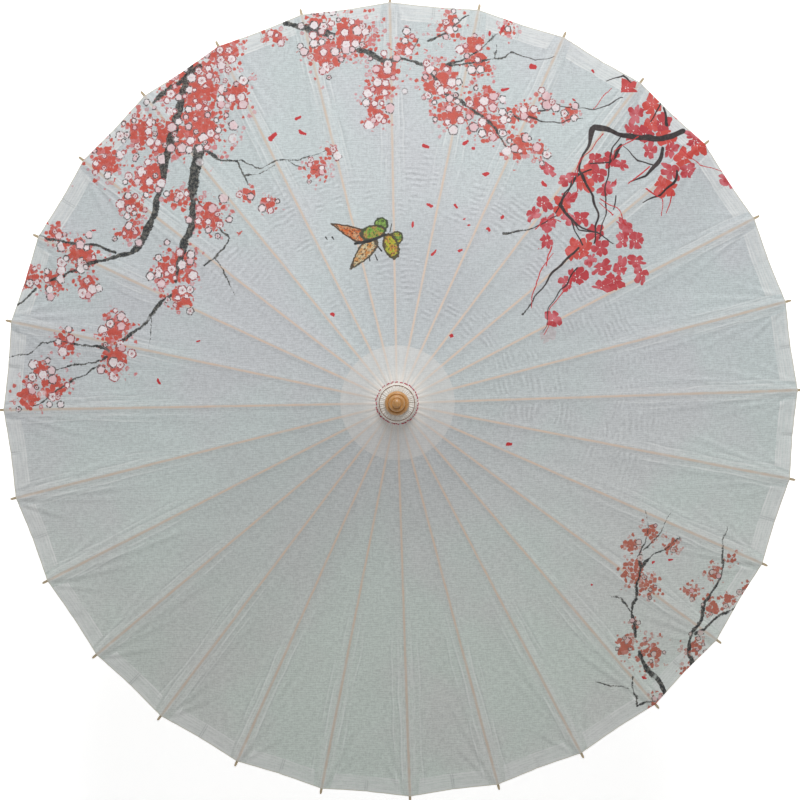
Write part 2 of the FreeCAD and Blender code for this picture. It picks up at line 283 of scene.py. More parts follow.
# ================================================================ node helpers
class Graph:
    """Short ways to add and join the nodes of one tree"""

    def __init__(self, tree):
        self.tree = tree

    def add(self, kind, inputs=None, **settings):
        made = self.tree.nodes.new(kind)
        for key, value in settings.items():
            setattr(made, key, value)
        for key, value in (inputs or {}).items():
            if isinstance(value, bpy.types.NodeSocket):
                self.tree.links.new(value, made.inputs[key])
            elif value is not None:
                made.inputs[key].default_value = value
        return made

    def link(self, source, target):
        self.tree.links.new(source, target)

    def math(self, operation, *values):
        return self.add("ShaderNodeMath", dict(enumerate(values)), operation=operation).outputs[0]

    def times(self, first, second):
        return self.math("MULTIPLY", first, second)

    def plus(self, first, second):
        return self.math("ADD", first, second)

    def minus(self, first, second):
        return self.math("SUBTRACT", first, second)

    def over(self, first, second):
        return self.math("DIVIDE", first, second)

    def scale_add(self, value, factor, more):
        return self.math("MULTIPLY_ADD", value, factor, more)

    def larger(self, first, second):
        return self.math("MAXIMUM", first, second)

    def smaller(self, first, second):
        return self.math("MINIMUM", first, second)

    def absolute(self, value):
        return self.math("ABSOLUTE", value)

    def cosine(self, value):
        return self.math("COSINE", value)

    def vector(self, operation, *values):
        made = self.add("ShaderNodeVectorMath", dict(enumerate(values)), operation=operation)
        return made.outputs[1 if operation in ("LENGTH", "DOT_PRODUCT", "DISTANCE") else 0]

    def scaled(self, vector, amount):
        return self.add("ShaderNodeVectorMath", {"Vector": vector, "Scale": amount},
                        operation="SCALE").outputs[0]

    def step(self, value, low, high, start=0.0, end=1.0):
        """Smooth step from start to end as value goes from low to high"""
        ranges = {"Value": value, "From Min": low, "From Max": high, "To Min": start, "To Max": end}
        return self.add("ShaderNodeMapRange", ranges, interpolation_type="SMOOTHSTEP",
                        clamp=False).outputs[0]

    def mix(self, factor, first, second, blend="MIX"):
        made = self.add("ShaderNodeMix", {0: factor, 6: first, 7: second},
                        data_type="RGBA", blend_type=blend)
        return made.outputs[2]

    def noise(self, vector, scale, detail=2.0, roughness=0.5, output=0):
        return self.add("ShaderNodeTexNoise", {
            "Vector": vector, "Scale": scale, "Detail": detail,
            "Roughness": roughness}).outputs[output]

    def split(self, vector):
        return self.add("ShaderNodeSeparateXYZ", {0: vector}).outputs

    def join(self, x, y, z=0.0):
        return self.add("ShaderNodeCombineXYZ", {0: x, 1: y, 2: z}).outputs[0]

    def grey(self, value):
        return self.add("ShaderNodeCombineColor", {0: value, 1: value, 2: value}).outputs[0]

    def parts(self, colour):
        return self.add("ShaderNodeSeparateColor", {0: colour}).outputs

    def shaken(self, vector, scale, detail, roughness):
        """Vector of noise about 0, in the plane"""
        red, green, _ = self.parts(self.noise(vector, scale, detail, roughness, output=1))
        return self.vector("SUBTRACT", self.join(red, green), (0.5, 0.5, 0.0))

    def group(self, tree, inputs):
        return self.add("ShaderNodeGroup", inputs, node_tree=tree).outputs


SOCKETS = {"f": "NodeSocketFloat", "v": "NodeSocketVector", "c": "NodeSocketColor"}


def new_group(name, inputs, outputs):
    """Empty shader group with the named sockets: returns tree, graph, inputs, outputs"""
    tree = bpy.data.node_groups.new(name, "ShaderNodeTree")
    for kind, label in inputs:
        tree.interface.new_socket(label, in_out="INPUT", socket_type=SOCKETS[kind])
    for kind, label in outputs:
        tree.interface.new_socket(label, in_out="OUTPUT", socket_type=SOCKETS[kind])
    graph = Graph(tree)
    start = tree.nodes.new("NodeGroupInput").outputs
    end = tree.nodes.new("NodeGroupOutput").inputs
    return tree, graph, start, end


def shared(name, build):
    """The named shader group, built the first time it is asked for"""
    return bpy.data.node_groups.get(name) or build(name)


def rgba(colour):
    """Colour with full alpha"""
    return (*colour, 1.0)


# ================================================================ shared effects
def build_brush_stroke(name):
    """Distance to one tapered brush stroke, kept if nearer than the best so far"""
    tree, g, start, end = new_group(name, [
        ("v", "Point"), ("f", "Best"), ("v", "Start"), ("v", "Reach"), ("v", "Unit"),
        ("f", "Half width"), ("f", "Taper")], [("f", "Best")])
    away = g.vector("SUBTRACT", start["Point"], start["Start"])
    share = g.vector("DOT_PRODUCT", away, start["Unit"])
    share = g.smaller(g.larger(share, 0.0), 1.0)
    foot = g.scaled(start["Reach"], share)
    gap = g.vector("LENGTH", g.vector("SUBTRACT", away, foot))
    width = g.scale_add(share, start["Taper"], start["Half width"])
    near = g.minus(gap, width)
    g.link(g.smaller(near, start["Best"]), end["Best"])
    return tree


def build_blossom_spot(name):
    """Cover of one clump of blossom: 1 at its middle, 0 at its edge"""
    tree, g, start, end = new_group(name, [
        ("v", "Point"), ("f", "Best"), ("v", "Centre"), ("f", "Radius")], [("f", "Best")])
    gap = g.over(g.vector("DISTANCE", start["Point"], start["Centre"]), start["Radius"])
    cover = g.minus(1.0, gap)
    g.link(g.larger(cover, start["Best"]), end["Best"])
    return tree


def build_wing(name):
    """Distance from an ellipse's edge: below 0 inside, as a share of its size"""
    tree, g, start, end = new_group(name, [
        ("v", "Point"), ("v", "Centre"), ("v", "Long axis"), ("v", "Short axis"), ("f", "Sharp")],
        [("f", "Edge"), ("f", "Along"), ("f", "Veins")])
    away = g.vector("SUBTRACT", start["Point"], start["Centre"])
    along = g.vector("DOT_PRODUCT", away, start["Long axis"])
    across = g.vector("DOT_PRODUCT", away, start["Short axis"])
    # a sharp wing narrows to its tip
    narrowed = g.minus(1.0, g.times(along, start["Sharp"]))
    across = g.over(across, g.larger(0.2, narrowed))
    size = g.vector("LENGTH", g.join(along, across))
    g.link(g.minus(size, 1.0), end["Edge"])
    g.link(along, end["Along"])
    fan = g.math("ARCTAN2", across, g.plus(along, 1.25))
    ribs = g.step(g.cosine(g.times(fan, 17.0)), 0.45, 0.95)
    g.link(g.times(ribs, g.step(along, -0.9, 0.3)), end["Veins"])
    return tree


def build_blossom_cells(name):
    """Scattered blossom places: the middle of the nearest, and where a point lies about it"""
    tree, g, start, end = new_group(name, [
        ("v", "Point"), ("f", "Size"), ("f", "Shake"), ("f", "Shake scale")],
        [("v", "Centre"), ("v", "Away"), ("f", "Distance"), ("c", "Chance")])
    shake = g.scaled(g.shaken(start["Point"], start["Shake scale"], 3.0, 0.6), start["Shake"])
    point = g.vector("MULTIPLY", g.vector("ADD", start["Point"], shake), (1, 1, 0))
    small = g.scaled(point, g.over(1.0, start["Size"]))
    cells = g.add("ShaderNodeTexVoronoi", {"Vector": small, "Scale": 1.0, "Randomness": 0.9},
                  voronoi_dimensions="2D")
    g.link(g.scaled(cells.outputs["Position"], start["Size"]), end["Centre"])
    g.link(g.vector("SUBTRACT", small, cells.outputs["Position"]), end["Away"])
    g.link(cells.outputs["Distance"], end["Distance"])
    g.link(cells.outputs["Color"], end["Chance"])
    return tree


def build_red_dabs(name):
    """Small irregular dabs of red and pink, thick in the middle of a clump, sparse outside"""
    tree, g, start, end = new_group(name, [
        ("v", "Point"), ("v", "Away"), ("f", "Distance"), ("c", "Chance"), ("f", "Cover"),
        ("c", "Deep"), ("c", "Pale"), ("f", "Wash")], [("c", "Colour"), ("f", "Alpha")])
    chance = g.parts(start["Chance"])
    reach = g.scale_add(chance[0], 0.40, 0.20)
    reach = g.plus(reach, g.times(g.step(start["Cover"], 0.25, 0.60), 0.28))
    edge = g.minus(start["Distance"], reach)
    ragged = g.scale_add(g.noise(start["Point"], 0.62, 3.0, 0.7), 0.9, -0.45)
    edge = g.plus(edge, ragged)
    patchy = g.scale_add(g.noise(start["Point"], 0.055, 2.0), 1.9, -0.95)
    cover = g.plus(start["Cover"], patchy)
    live = g.step(g.minus(cover, g.times(chance[2], 0.80)), -0.06, 0.0)
    live = g.times(live, g.step(start["Cover"], -0.12, -0.08))
    dab = g.times(g.step(edge, 0.10, -0.10), live)
    wash = g.plus(start["Cover"], start["Wash"])
    wash = g.plus(wash, g.scale_add(g.noise(start["Point"], 0.16, 3.0, 0.6), 1.7, -0.85))
    dab = g.larger(dab, g.step(wash, 0.62, 0.74, 0.0, 0.92))
    paler = g.plus(g.times(chance[1], 0.75), g.times(start["Cover"], -0.75))
    tone = g.step(paler, 0.05, 0.5)
    colour = g.mix(tone, start["Deep"], start["Pale"])
    blot = g.step(g.noise(start["Point"], 0.8, 3.0, 0.7), 0.44, 0.60)
    colour = g.mix(g.times(blot, 0.5), colour, g.mix(0.45, start["Deep"], DAB_MIRE))
    hollow = g.times(g.step(g.plus(edge, 0.25), 0.02, -0.10), g.step(chance[1], 0.55, 0.6))
    hollow = g.times(hollow, g.step(start["Cover"], 0.45, 0.25))
    alpha = g.times(dab, g.minus(0.93, g.times(hollow, 0.75)))
    alpha = g.times(alpha, g.scale_add(tone, -0.25, 1.0))
    g.link(colour, end["Colour"])
    g.link(alpha, end["Alpha"])
    return tree


def build_white_blossoms(name):
    """Round white plum blossoms with thin dark and red outlines and a few stamens"""
    tree, g, start, end = new_group(name, [
        ("v", "Point"), ("v", "Away"), ("f", "Distance"), ("c", "Chance"), ("f", "Cover"),
        ("c", "Petal"), ("c", "Outline"), ("f", "Amount")], [("c", "Colour"), ("f", "Alpha")])
    chance = g.parts(start["Chance"])
    away = g.split(start["Away"])
    angle = g.math("ARCTAN2", away[1], away[0])
    petals = g.cosine(g.scale_add(angle, 5.0, g.times(chance[1], 6.28)))
    reach = g.scale_add(g.math("POWER", chance[0], 1.2), 0.30, 0.21)
    reach = g.times(reach, g.scale_add(petals, 0.05, 1.0))
    edge = g.minus(start["Distance"], reach)
    edge = g.plus(edge, g.scale_add(g.noise(start["Point"], 0.7, 2.0), 0.16, -0.08))
    thinned = g.times(chance[2], start["Amount"])
    live = g.step(g.minus(start["Cover"], thinned), 0.0, 0.02)
    disc = g.times(g.step(edge, 0.03, -0.03), live)
    ring = g.times(g.step(g.absolute(edge), 0.095, 0.03), live)
    ring = g.times(ring, g.step(g.noise(start["Point"], 0.5, 2.0), 0.34, 0.50))
    tint = g.times(g.step(chance[1], 0.6, 0.95), 0.5)
    tone = g.mix(tint, start["Petal"], PETAL_TINT)
    smear = g.step(g.noise(start["Point"], 0.45, 2.0), 0.48, 0.66)
    tone = g.mix(g.times(smear, 0.4), tone, PETAL_SMEAR)
    heart = g.times(g.step(start["Distance"], 0.10, 0.05), g.step(chance[1], 0.30, 0.22))
    stamens = g.step(g.cosine(g.times(angle, 7.0)), 0.45, 0.8)
    collar = g.absolute(g.minus(start["Distance"], 0.15))
    stamens = g.times(stamens, g.step(collar, 0.055, 0.03))
    stamens = g.times(stamens, g.step(chance[1], 0.30, 0.22))
    tone = g.mix(g.larger(heart, stamens), tone, start["Outline"])
    line = g.mix(g.step(chance[2], 0.30, 0.36), PETAL_LINE, start["Outline"])
    tone = g.mix(ring, tone, line)
    g.link(tone, end["Colour"])
    g.link(g.times(g.larger(disc, ring), 0.95), end["Alpha"])
    return tree


def build_bold_blossoms(name):
    """Large loose red blossoms brushed in one wash, with a few pale stamen dots"""
    tree, g, start, end = new_group(name, [
        ("v", "Point"), ("v", "Away"), ("f", "Distance"), ("c", "Chance"), ("f", "Cover"),
        ("c", "Deep"), ("c", "Pale")], [("c", "Colour"), ("f", "Alpha")])
    chance = g.parts(start["Chance"])
    away = g.split(start["Away"])
    # each blossom is turned and flattened its own way
    turned = g.times(chance[1], 6.28)
    along = g.plus(g.times(away[0], g.cosine(turned)),
                   g.times(away[1], g.math("SINE", turned)))
    across = g.minus(g.times(away[1], g.cosine(turned)),
                    g.times(away[0], g.math("SINE", turned)))
    across = g.times(across, g.scale_add(chance[0], 0.75, 1.0))
    size = g.math("SQRT", g.plus(g.times(along, along), g.times(across, across)))
    uneven = g.times(g.noise(start["Point"], 0.07, 1.0), 3.2)
    angle = g.scale_add(g.math("ARCTAN2", across, along), 2.5, uneven)
    lobe = g.math("POWER", g.absolute(g.cosine(angle)), 0.5)
    waver = g.scale_add(g.noise(start["Point"], 0.10, 2.0), 0.7, -0.35)
    reach = g.times(g.scale_add(chance[2], 0.24, 0.52), g.scale_add(lobe, 0.58, 0.42))
    edge = g.minus(g.plus(size, g.times(waver, 1.05)), reach)
    live = g.step(g.minus(start["Cover"], g.times(chance[2], 0.25)), 0.0, 0.02)
    bloom = g.times(g.step(edge, 0.02, -0.02), live)
    wet = g.step(g.noise(start["Point"], 0.09, 2.0, 0.6), 0.40, 0.62)
    wet = g.times(wet, g.step(chance[0], 0.15, 0.8))
    tone = g.mix(wet, start["Deep"], start["Pale"])
    tone = g.mix(g.times(g.step(chance[2], 0.72, 0.80), 0.55), tone, BOLD_ORANGE)
    seam = g.times(g.step(lobe, 0.45, 0.15), g.step(size, 0.40, 0.20))
    tone = g.mix(g.times(seam, 0.5), tone, BOLD_SEAM)
    tone = g.mix(g.step(g.absolute(edge), 0.035, 0.0), tone, start["Deep"])
    dots = g.add("ShaderNodeTexVoronoi", {"Vector": start["Point"], "Scale": 0.36, "Randomness": 0.8},
                 voronoi_dimensions="2D").outputs["Distance"]
    stamen = g.times(g.step(dots, 0.27, 0.20), g.step(size, 0.17, 0.12))
    stamen = g.times(stamen, g.step(chance[0], 0.75, 0.7))
    tone = g.mix(g.times(stamen, 0.95), tone, BOLD_STAMEN)
    g.link(tone, end["Colour"])
    g.link(g.times(bloom, 0.95), end["Alpha"])
    return tree


def calm_side(g, point):
    """1 where the bold blossoms grow: brush strokes are smoother there"""
    place = g.split(point)
    return g.times(g.step(place[0], 110.0, 160.0), g.step(place[1], 40.0, 80.0))


def build_brush_path(name):
    """Points nudged about so that a straight brush stroke turns into a gnarled one"""
    tree, g, start, end = new_group(name, [("v", "Point")], [("v", "Point")])
    bend = g.shaken(start["Point"], 0.030, 1.0, 0.5)
    kink = g.shaken(start["Point"], 0.16, 2.0, 0.6)
    kink = g.scaled(kink, g.scale_add(calm_side(g, start["Point"]), -2.6, 3.4))
    moved = g.vector("ADD", g.scaled(bend, 17.0), kink)
    moved = g.vector("MULTIPLY", g.vector("ADD", start["Point"], moved), (1, 1, 0))
    g.link(moved, end["Point"])
    return tree


def build_ink(name):
    """Dry-brushed ink: how much covers the cloth, and its tone"""
    tree, g, start, end = new_group(name, [
        ("v", "Point"), ("f", "Distance"), ("c", "Ink"), ("c", "Worn")],
        [("c", "Colour"), ("f", "Alpha")])
    rough = g.noise(start["Point"], 0.55, 3.0, 0.7)
    knots = g.noise(start["Point"], 0.10, 2.0)
    calm = calm_side(g, start["Point"])
    unrest = g.plus(g.scale_add(rough, 3.0, -1.5), g.scale_add(knots, 2.6, -1.3))
    edge = g.plus(start["Distance"], g.times(unrest, g.scale_add(calm, -0.84, 1.0)))
    cover = g.step(edge, 0.30, -0.35)
    bark = g.noise(start["Point"], 0.32, 4.0, 0.75)
    tone = g.mix(g.step(bark, 0.44, 0.62), start["Ink"], start["Worn"])
    tone = g.mix(g.times(calm, 0.8), tone, BARK_INK)
    skim = g.step(g.plus(g.noise(start["Point"], 0.9, 2.0), g.times(edge, 0.08)), 0.66, 0.56)
    lift = g.step(g.noise(start["Point"], 0.045, 2.0), 0.30, 0.38)
    g.link(tone, end["Colour"])
    cover = g.times(cover, g.larger(g.scale_add(skim, 0.65, 0.35), calm))
    cover = g.times(cover, g.larger(g.scale_add(lift, 0.7, 0.28), calm))
    g.link(cover, end["Alpha"])
    return tree


def cloth_tones(g, point, cool, warm):
    """Cloth's ground colour: clouds, a broad duller band slantwise over the middle, and painted light
    that brightens the lower (-y) side
    """
    clouds = g.step(g.noise(point, 0.0060, 3.0, 0.55), 0.40, 0.62)
    colour = g.mix(clouds, cool, warm)
    band = g.plus(g.vector("DOT_PRODUCT", point, (-0.0052, 0.0058, 0.0)),
                  g.scale_add(g.noise(point, 0.008, 3.0, 0.6), 1.6, -0.62))
    band = g.step(g.absolute(band), 0.95, 0.25)
    colour = g.mix(g.times(band, 0.30), colour, BAND_GREY)
    dull = g.step(g.vector("DISTANCE", point, (22.0, 118.0, 0.0)), 115.0, 25.0)
    colour = g.mix(g.times(dull, 0.45), colour, DULL_GREY)
    # painted light: the lower (-y) side, away from the key lamp, is brightened
    low = g.step(g.vector("DOT_PRODUCT", point, (0.0, -1.0, 0.0)), -120.0, 300.0)
    return g.mix(low, colour, g.mix(1.0, colour, LOW_SIDE_PAINTED_LIGHT, "MULTIPLY"))


def cloth_threads(g, point):
    """Uneven threads of a plain weave: the fibres alone, and all of it"""
    weft = g.noise(g.vector("MULTIPLY", point, (0.16, 0.62, 1.0)), 1.0, 3.0, 0.75)
    warp = g.noise(g.vector("MULTIPLY", point, (0.62, 0.16, 1.0)), 1.0, 3.0, 0.75)
    fibre = g.noise(point, 0.75, 3.0, 0.75)
    weave = g.add("ShaderNodeTexWave", {"Vector": point, "Scale": 0.145, "Distortion": 2.2,
                                        "Detail": 1.0, "Detail Scale": 0.3},
                  wave_type="BANDS", bands_direction="Y").outputs["Fac"]
    thread = g.scale_add(weft, 0.50, g.times(warp, 0.30))
    thread = g.scale_add(fibre, 0.30, thread)
    return fibre, g.scale_add(weave, 0.045, thread)


def cloth_ripples(g, point, along, beside):
    """Seersucker ripples that come and go across the gores over half of the canopy: a mask for their bump
    and for their painted light and shade
    """
    where = g.times(g.step(g.noise(point, 0.012, 1.0), 0.40, 0.52),
                    g.step(g.vector("DOT_PRODUCT", point, (0.45, 0.90, 0.0)), -10.0, 60.0))
    inner = g.times(g.step(along, 60.0, 90.0), g.step(along, 300.0, 220.0))
    where = g.times(where, inner)
    waves = g.scale_add(along, 1.05, g.times(g.noise(point, 0.030, 2.0), 14.0))
    short = g.times(g.step(g.noise(point, 0.050, 2.0), 0.44, 0.56),
                    g.step(g.absolute(beside), 3.5, 7.0))
    return g.times(g.times(g.math("SINE", waves), short), where)


def cloth_crown(g, point, along, colour):
    """Crown of two layers out to a faint many-sided edge, whitened in radial streaks at the head"""
    edge = CROWN_PATCH_END * 1000
    crown = g.step(along, edge + 0.4, edge - 0.4)
    colour = g.mix(g.times(crown, 0.40), colour, CROWN_WHITE)
    spoke = g.add("ShaderNodeVectorMath", {0: point}, operation="NORMALIZE").outputs[0]
    streak = g.noise(g.vector("MULTIPLY_ADD", spoke, (9, 9, 9), g.scaled(point, 0.02)), 2.2, 3.0, 0.7)
    # whitened in radial streaks near the head
    head_streaks = g.times(g.step(along, 26.0, 4.0), g.step(streak, 0.36, 0.60, 0.25, 0.85))
    return g.mix(head_streaks, colour, HEAD_STREAK_WHITE)


def cloth_hem(g, point, along, beside, gap, colour):
    """Hem folded back between the ribs, with fine parallel lines: its mask and the colour"""
    rim = CLOTH_END * 1000
    first = rim - HEM_WIDTH * 1000
    wander = g.scale_add(g.noise(point, 0.035, 2.0), 2.4, along)
    ends = g.step(g.scale_add(along, 0.12, gap), first * 0.12 + 10.4, first * 0.12 + 11.4)
    hem = g.times(g.step(wander, first + 0.9, first + 1.6), ends)
    drawn = g.join(g.times(along, 0.55), g.times(beside, 0.02))
    thin = g.noise(drawn, 1.0, 3.0, 0.75)
    lift = g.step(thin, 0.40, 0.62, 0.26, 0.74)
    colour = g.mix(g.times(hem, lift), colour, HEM_WHITE)
    lines = (first + 1.6, 1.0, 0.40), (first + 5.0, 0.8, 0.25), (rim - 2.2, 0.8, 0.22)
    for place, wide, strength in lines:
        near = g.step(g.absolute(g.minus(wander, place)), wide, 0.2)
        near = g.times(g.times(near, ends), g.step(g.noise(point, 0.04, 2.0), 0.36, 0.56))
        colour = g.mix(g.times(near, strength), colour, HEM_LINE)
    return hem, colour


def cloth_folds(g, point, along, beside, gap, outer, colour):
    """Painted highlight beside the outer ribs, and two wandering folds along each rib, each painted as a
    highlight line with a painted shade line beside it
    """
    ribwise = g.noise(g.join(g.times(along, 0.03), g.times(beside, 0.65)), 1.0, 2.0, 0.6)
    # painted highlight on the cloth beside the outer ribs
    ribside_highlight = g.times(g.step(gap, 12.0, 2.0), g.step(ribwise, 0.42, 0.62, 0.15, 1.0))
    colour = g.mix(g.times(g.times(ribside_highlight, outer), 0.38), colour, RIBSIDE_HIGHLIGHT)
    rim = CLOTH_END * 1000
    for shift, base, reach, strength in ((0.0, 2.6, 9.0, 0.34), (40.0, 5.5, 13.0, 0.26)):
        moved = g.vector("ADD", point, (shift, shift, shift))
        place = g.scale_add(g.noise(moved, 0.011, 2.0, 0.6), reach, base)
        off = g.minus(gap, place)
        there = g.times(g.step(g.noise(moved, 0.016, 1.0), 0.42, 0.54), g.step(along, 190.0, 290.0))
        there = g.times(there, g.step(along, rim - 3.0, rim - 22.0))
        # each fold: a painted highlight line, and a painted shade line beside it
        pale = g.times(g.step(g.absolute(off), 1.15, 0.2), there)
        fold_shade = g.times(g.step(g.absolute(g.minus(off, 1.7)), 1.3, 0.2), there)
        colour = g.mix(g.times(pale, strength), colour, FOLD_HIGHLIGHT)
        colour = g.mix(g.times(fold_shade, strength * 0.45), colour, FOLD_SHADE)
    return colour


def cloth_rib_line(g, along, beside, gap, outer, rib_colour, colour):
    """The rib itself showing through, with a thin shade beside it"""
    rim = CLOTH_END * 1000
    half = g.scale_add(outer, 0.30, 0.95)
    blotch = g.noise(g.join(g.times(along, 0.06), g.times(beside, 0.3)), 1.0, 3.0, 0.7)
    line = g.step(gap, g.plus(half, 0.75), g.minus(half, 0.55))
    line = g.times(line, g.step(blotch, 0.30, 0.62, 0.46, 0.84))
    line = g.times(line, g.step(along, rim - 4.0, rim - 12.0, 0.60, 1.0))
    line = g.times(line, g.step(along, 8.0, 60.0, 0.30, 1.0))
    colour = g.mix(line, colour, g.mix(g.times(outer, 0.5), rib_colour, OUTER_RIB))
    under = g.step(g.absolute(g.minus(gap, g.plus(half, 1.1))), 0.8, 0.1)
    return g.mix(g.times(under, 0.07), colour, RIB_SHADE)


def build_oiled_cloth(name):
    """Unpainted cloth: clouds of tone, thread lines, ribs showing, hem and crown patch"""
    tree, g, start, end = new_group(name, [
        ("v", "Point"), ("f", "Along"), ("f", "Beside"), ("c", "Cool"), ("c", "Warm"),
        ("c", "Rib line")], [("c", "Colour"), ("f", "Roughness"), ("f", "Height")])
    point, along, beside = start["Point"], start["Along"], start["Beside"]
    colour = cloth_tones(g, point, start["Cool"], start["Warm"])
    fibre, thread = cloth_threads(g, point)
    ripple = cloth_ripples(g, point, along, beside)
    shade = g.scale_add(g.step(thread, 0.46, 0.68), 0.25, 0.875)
    # the ripples are painted into the colour too, as painted light and shade
    shade = g.scale_add(ripple, 0.085, shade)
    colour = g.mix(1.0, colour, g.grey(shade), "MULTIPLY")
    colour = cloth_crown(g, point, along, colour)
    gap = g.absolute(beside)
    hem, colour = cloth_hem(g, point, along, beside, gap, colour)
    outer = g.step(along, 120.0, 400.0)
    colour = cloth_folds(g, point, along, beside, gap, outer, colour)
    # painted shade along a crease across the hem in the middle of the gore
    middle = g.minus(gap, g.scale_add(along, 0.1020, 2.55))
    crease_shade = g.times(g.step(g.absolute(g.plus(middle, 0.6)), 0.9, 0.2), hem)
    crease_shade = g.times(crease_shade, g.step(g.noise(point, 0.02, 1.0), 0.38, 0.52))
    colour = g.mix(g.times(crease_shade, 0.30), colour, CREASE_SHADE)
    colour = cloth_rib_line(g, along, beside, gap, outer, start["Rib line"], colour)
    rim = CLOTH_END * 1000
    edge = g.step(along, rim - 1.5, rim - 0.5)
    colour = g.mix(g.times(edge, 0.6), colour, EDGE_TAN)
    g.link(colour, end["Colour"])
    g.link(g.scale_add(fibre, 0.2, 0.48), end["Roughness"])
    g.link(g.plus(thread, g.times(ripple, 1.9)), end["Height"])
    return tree


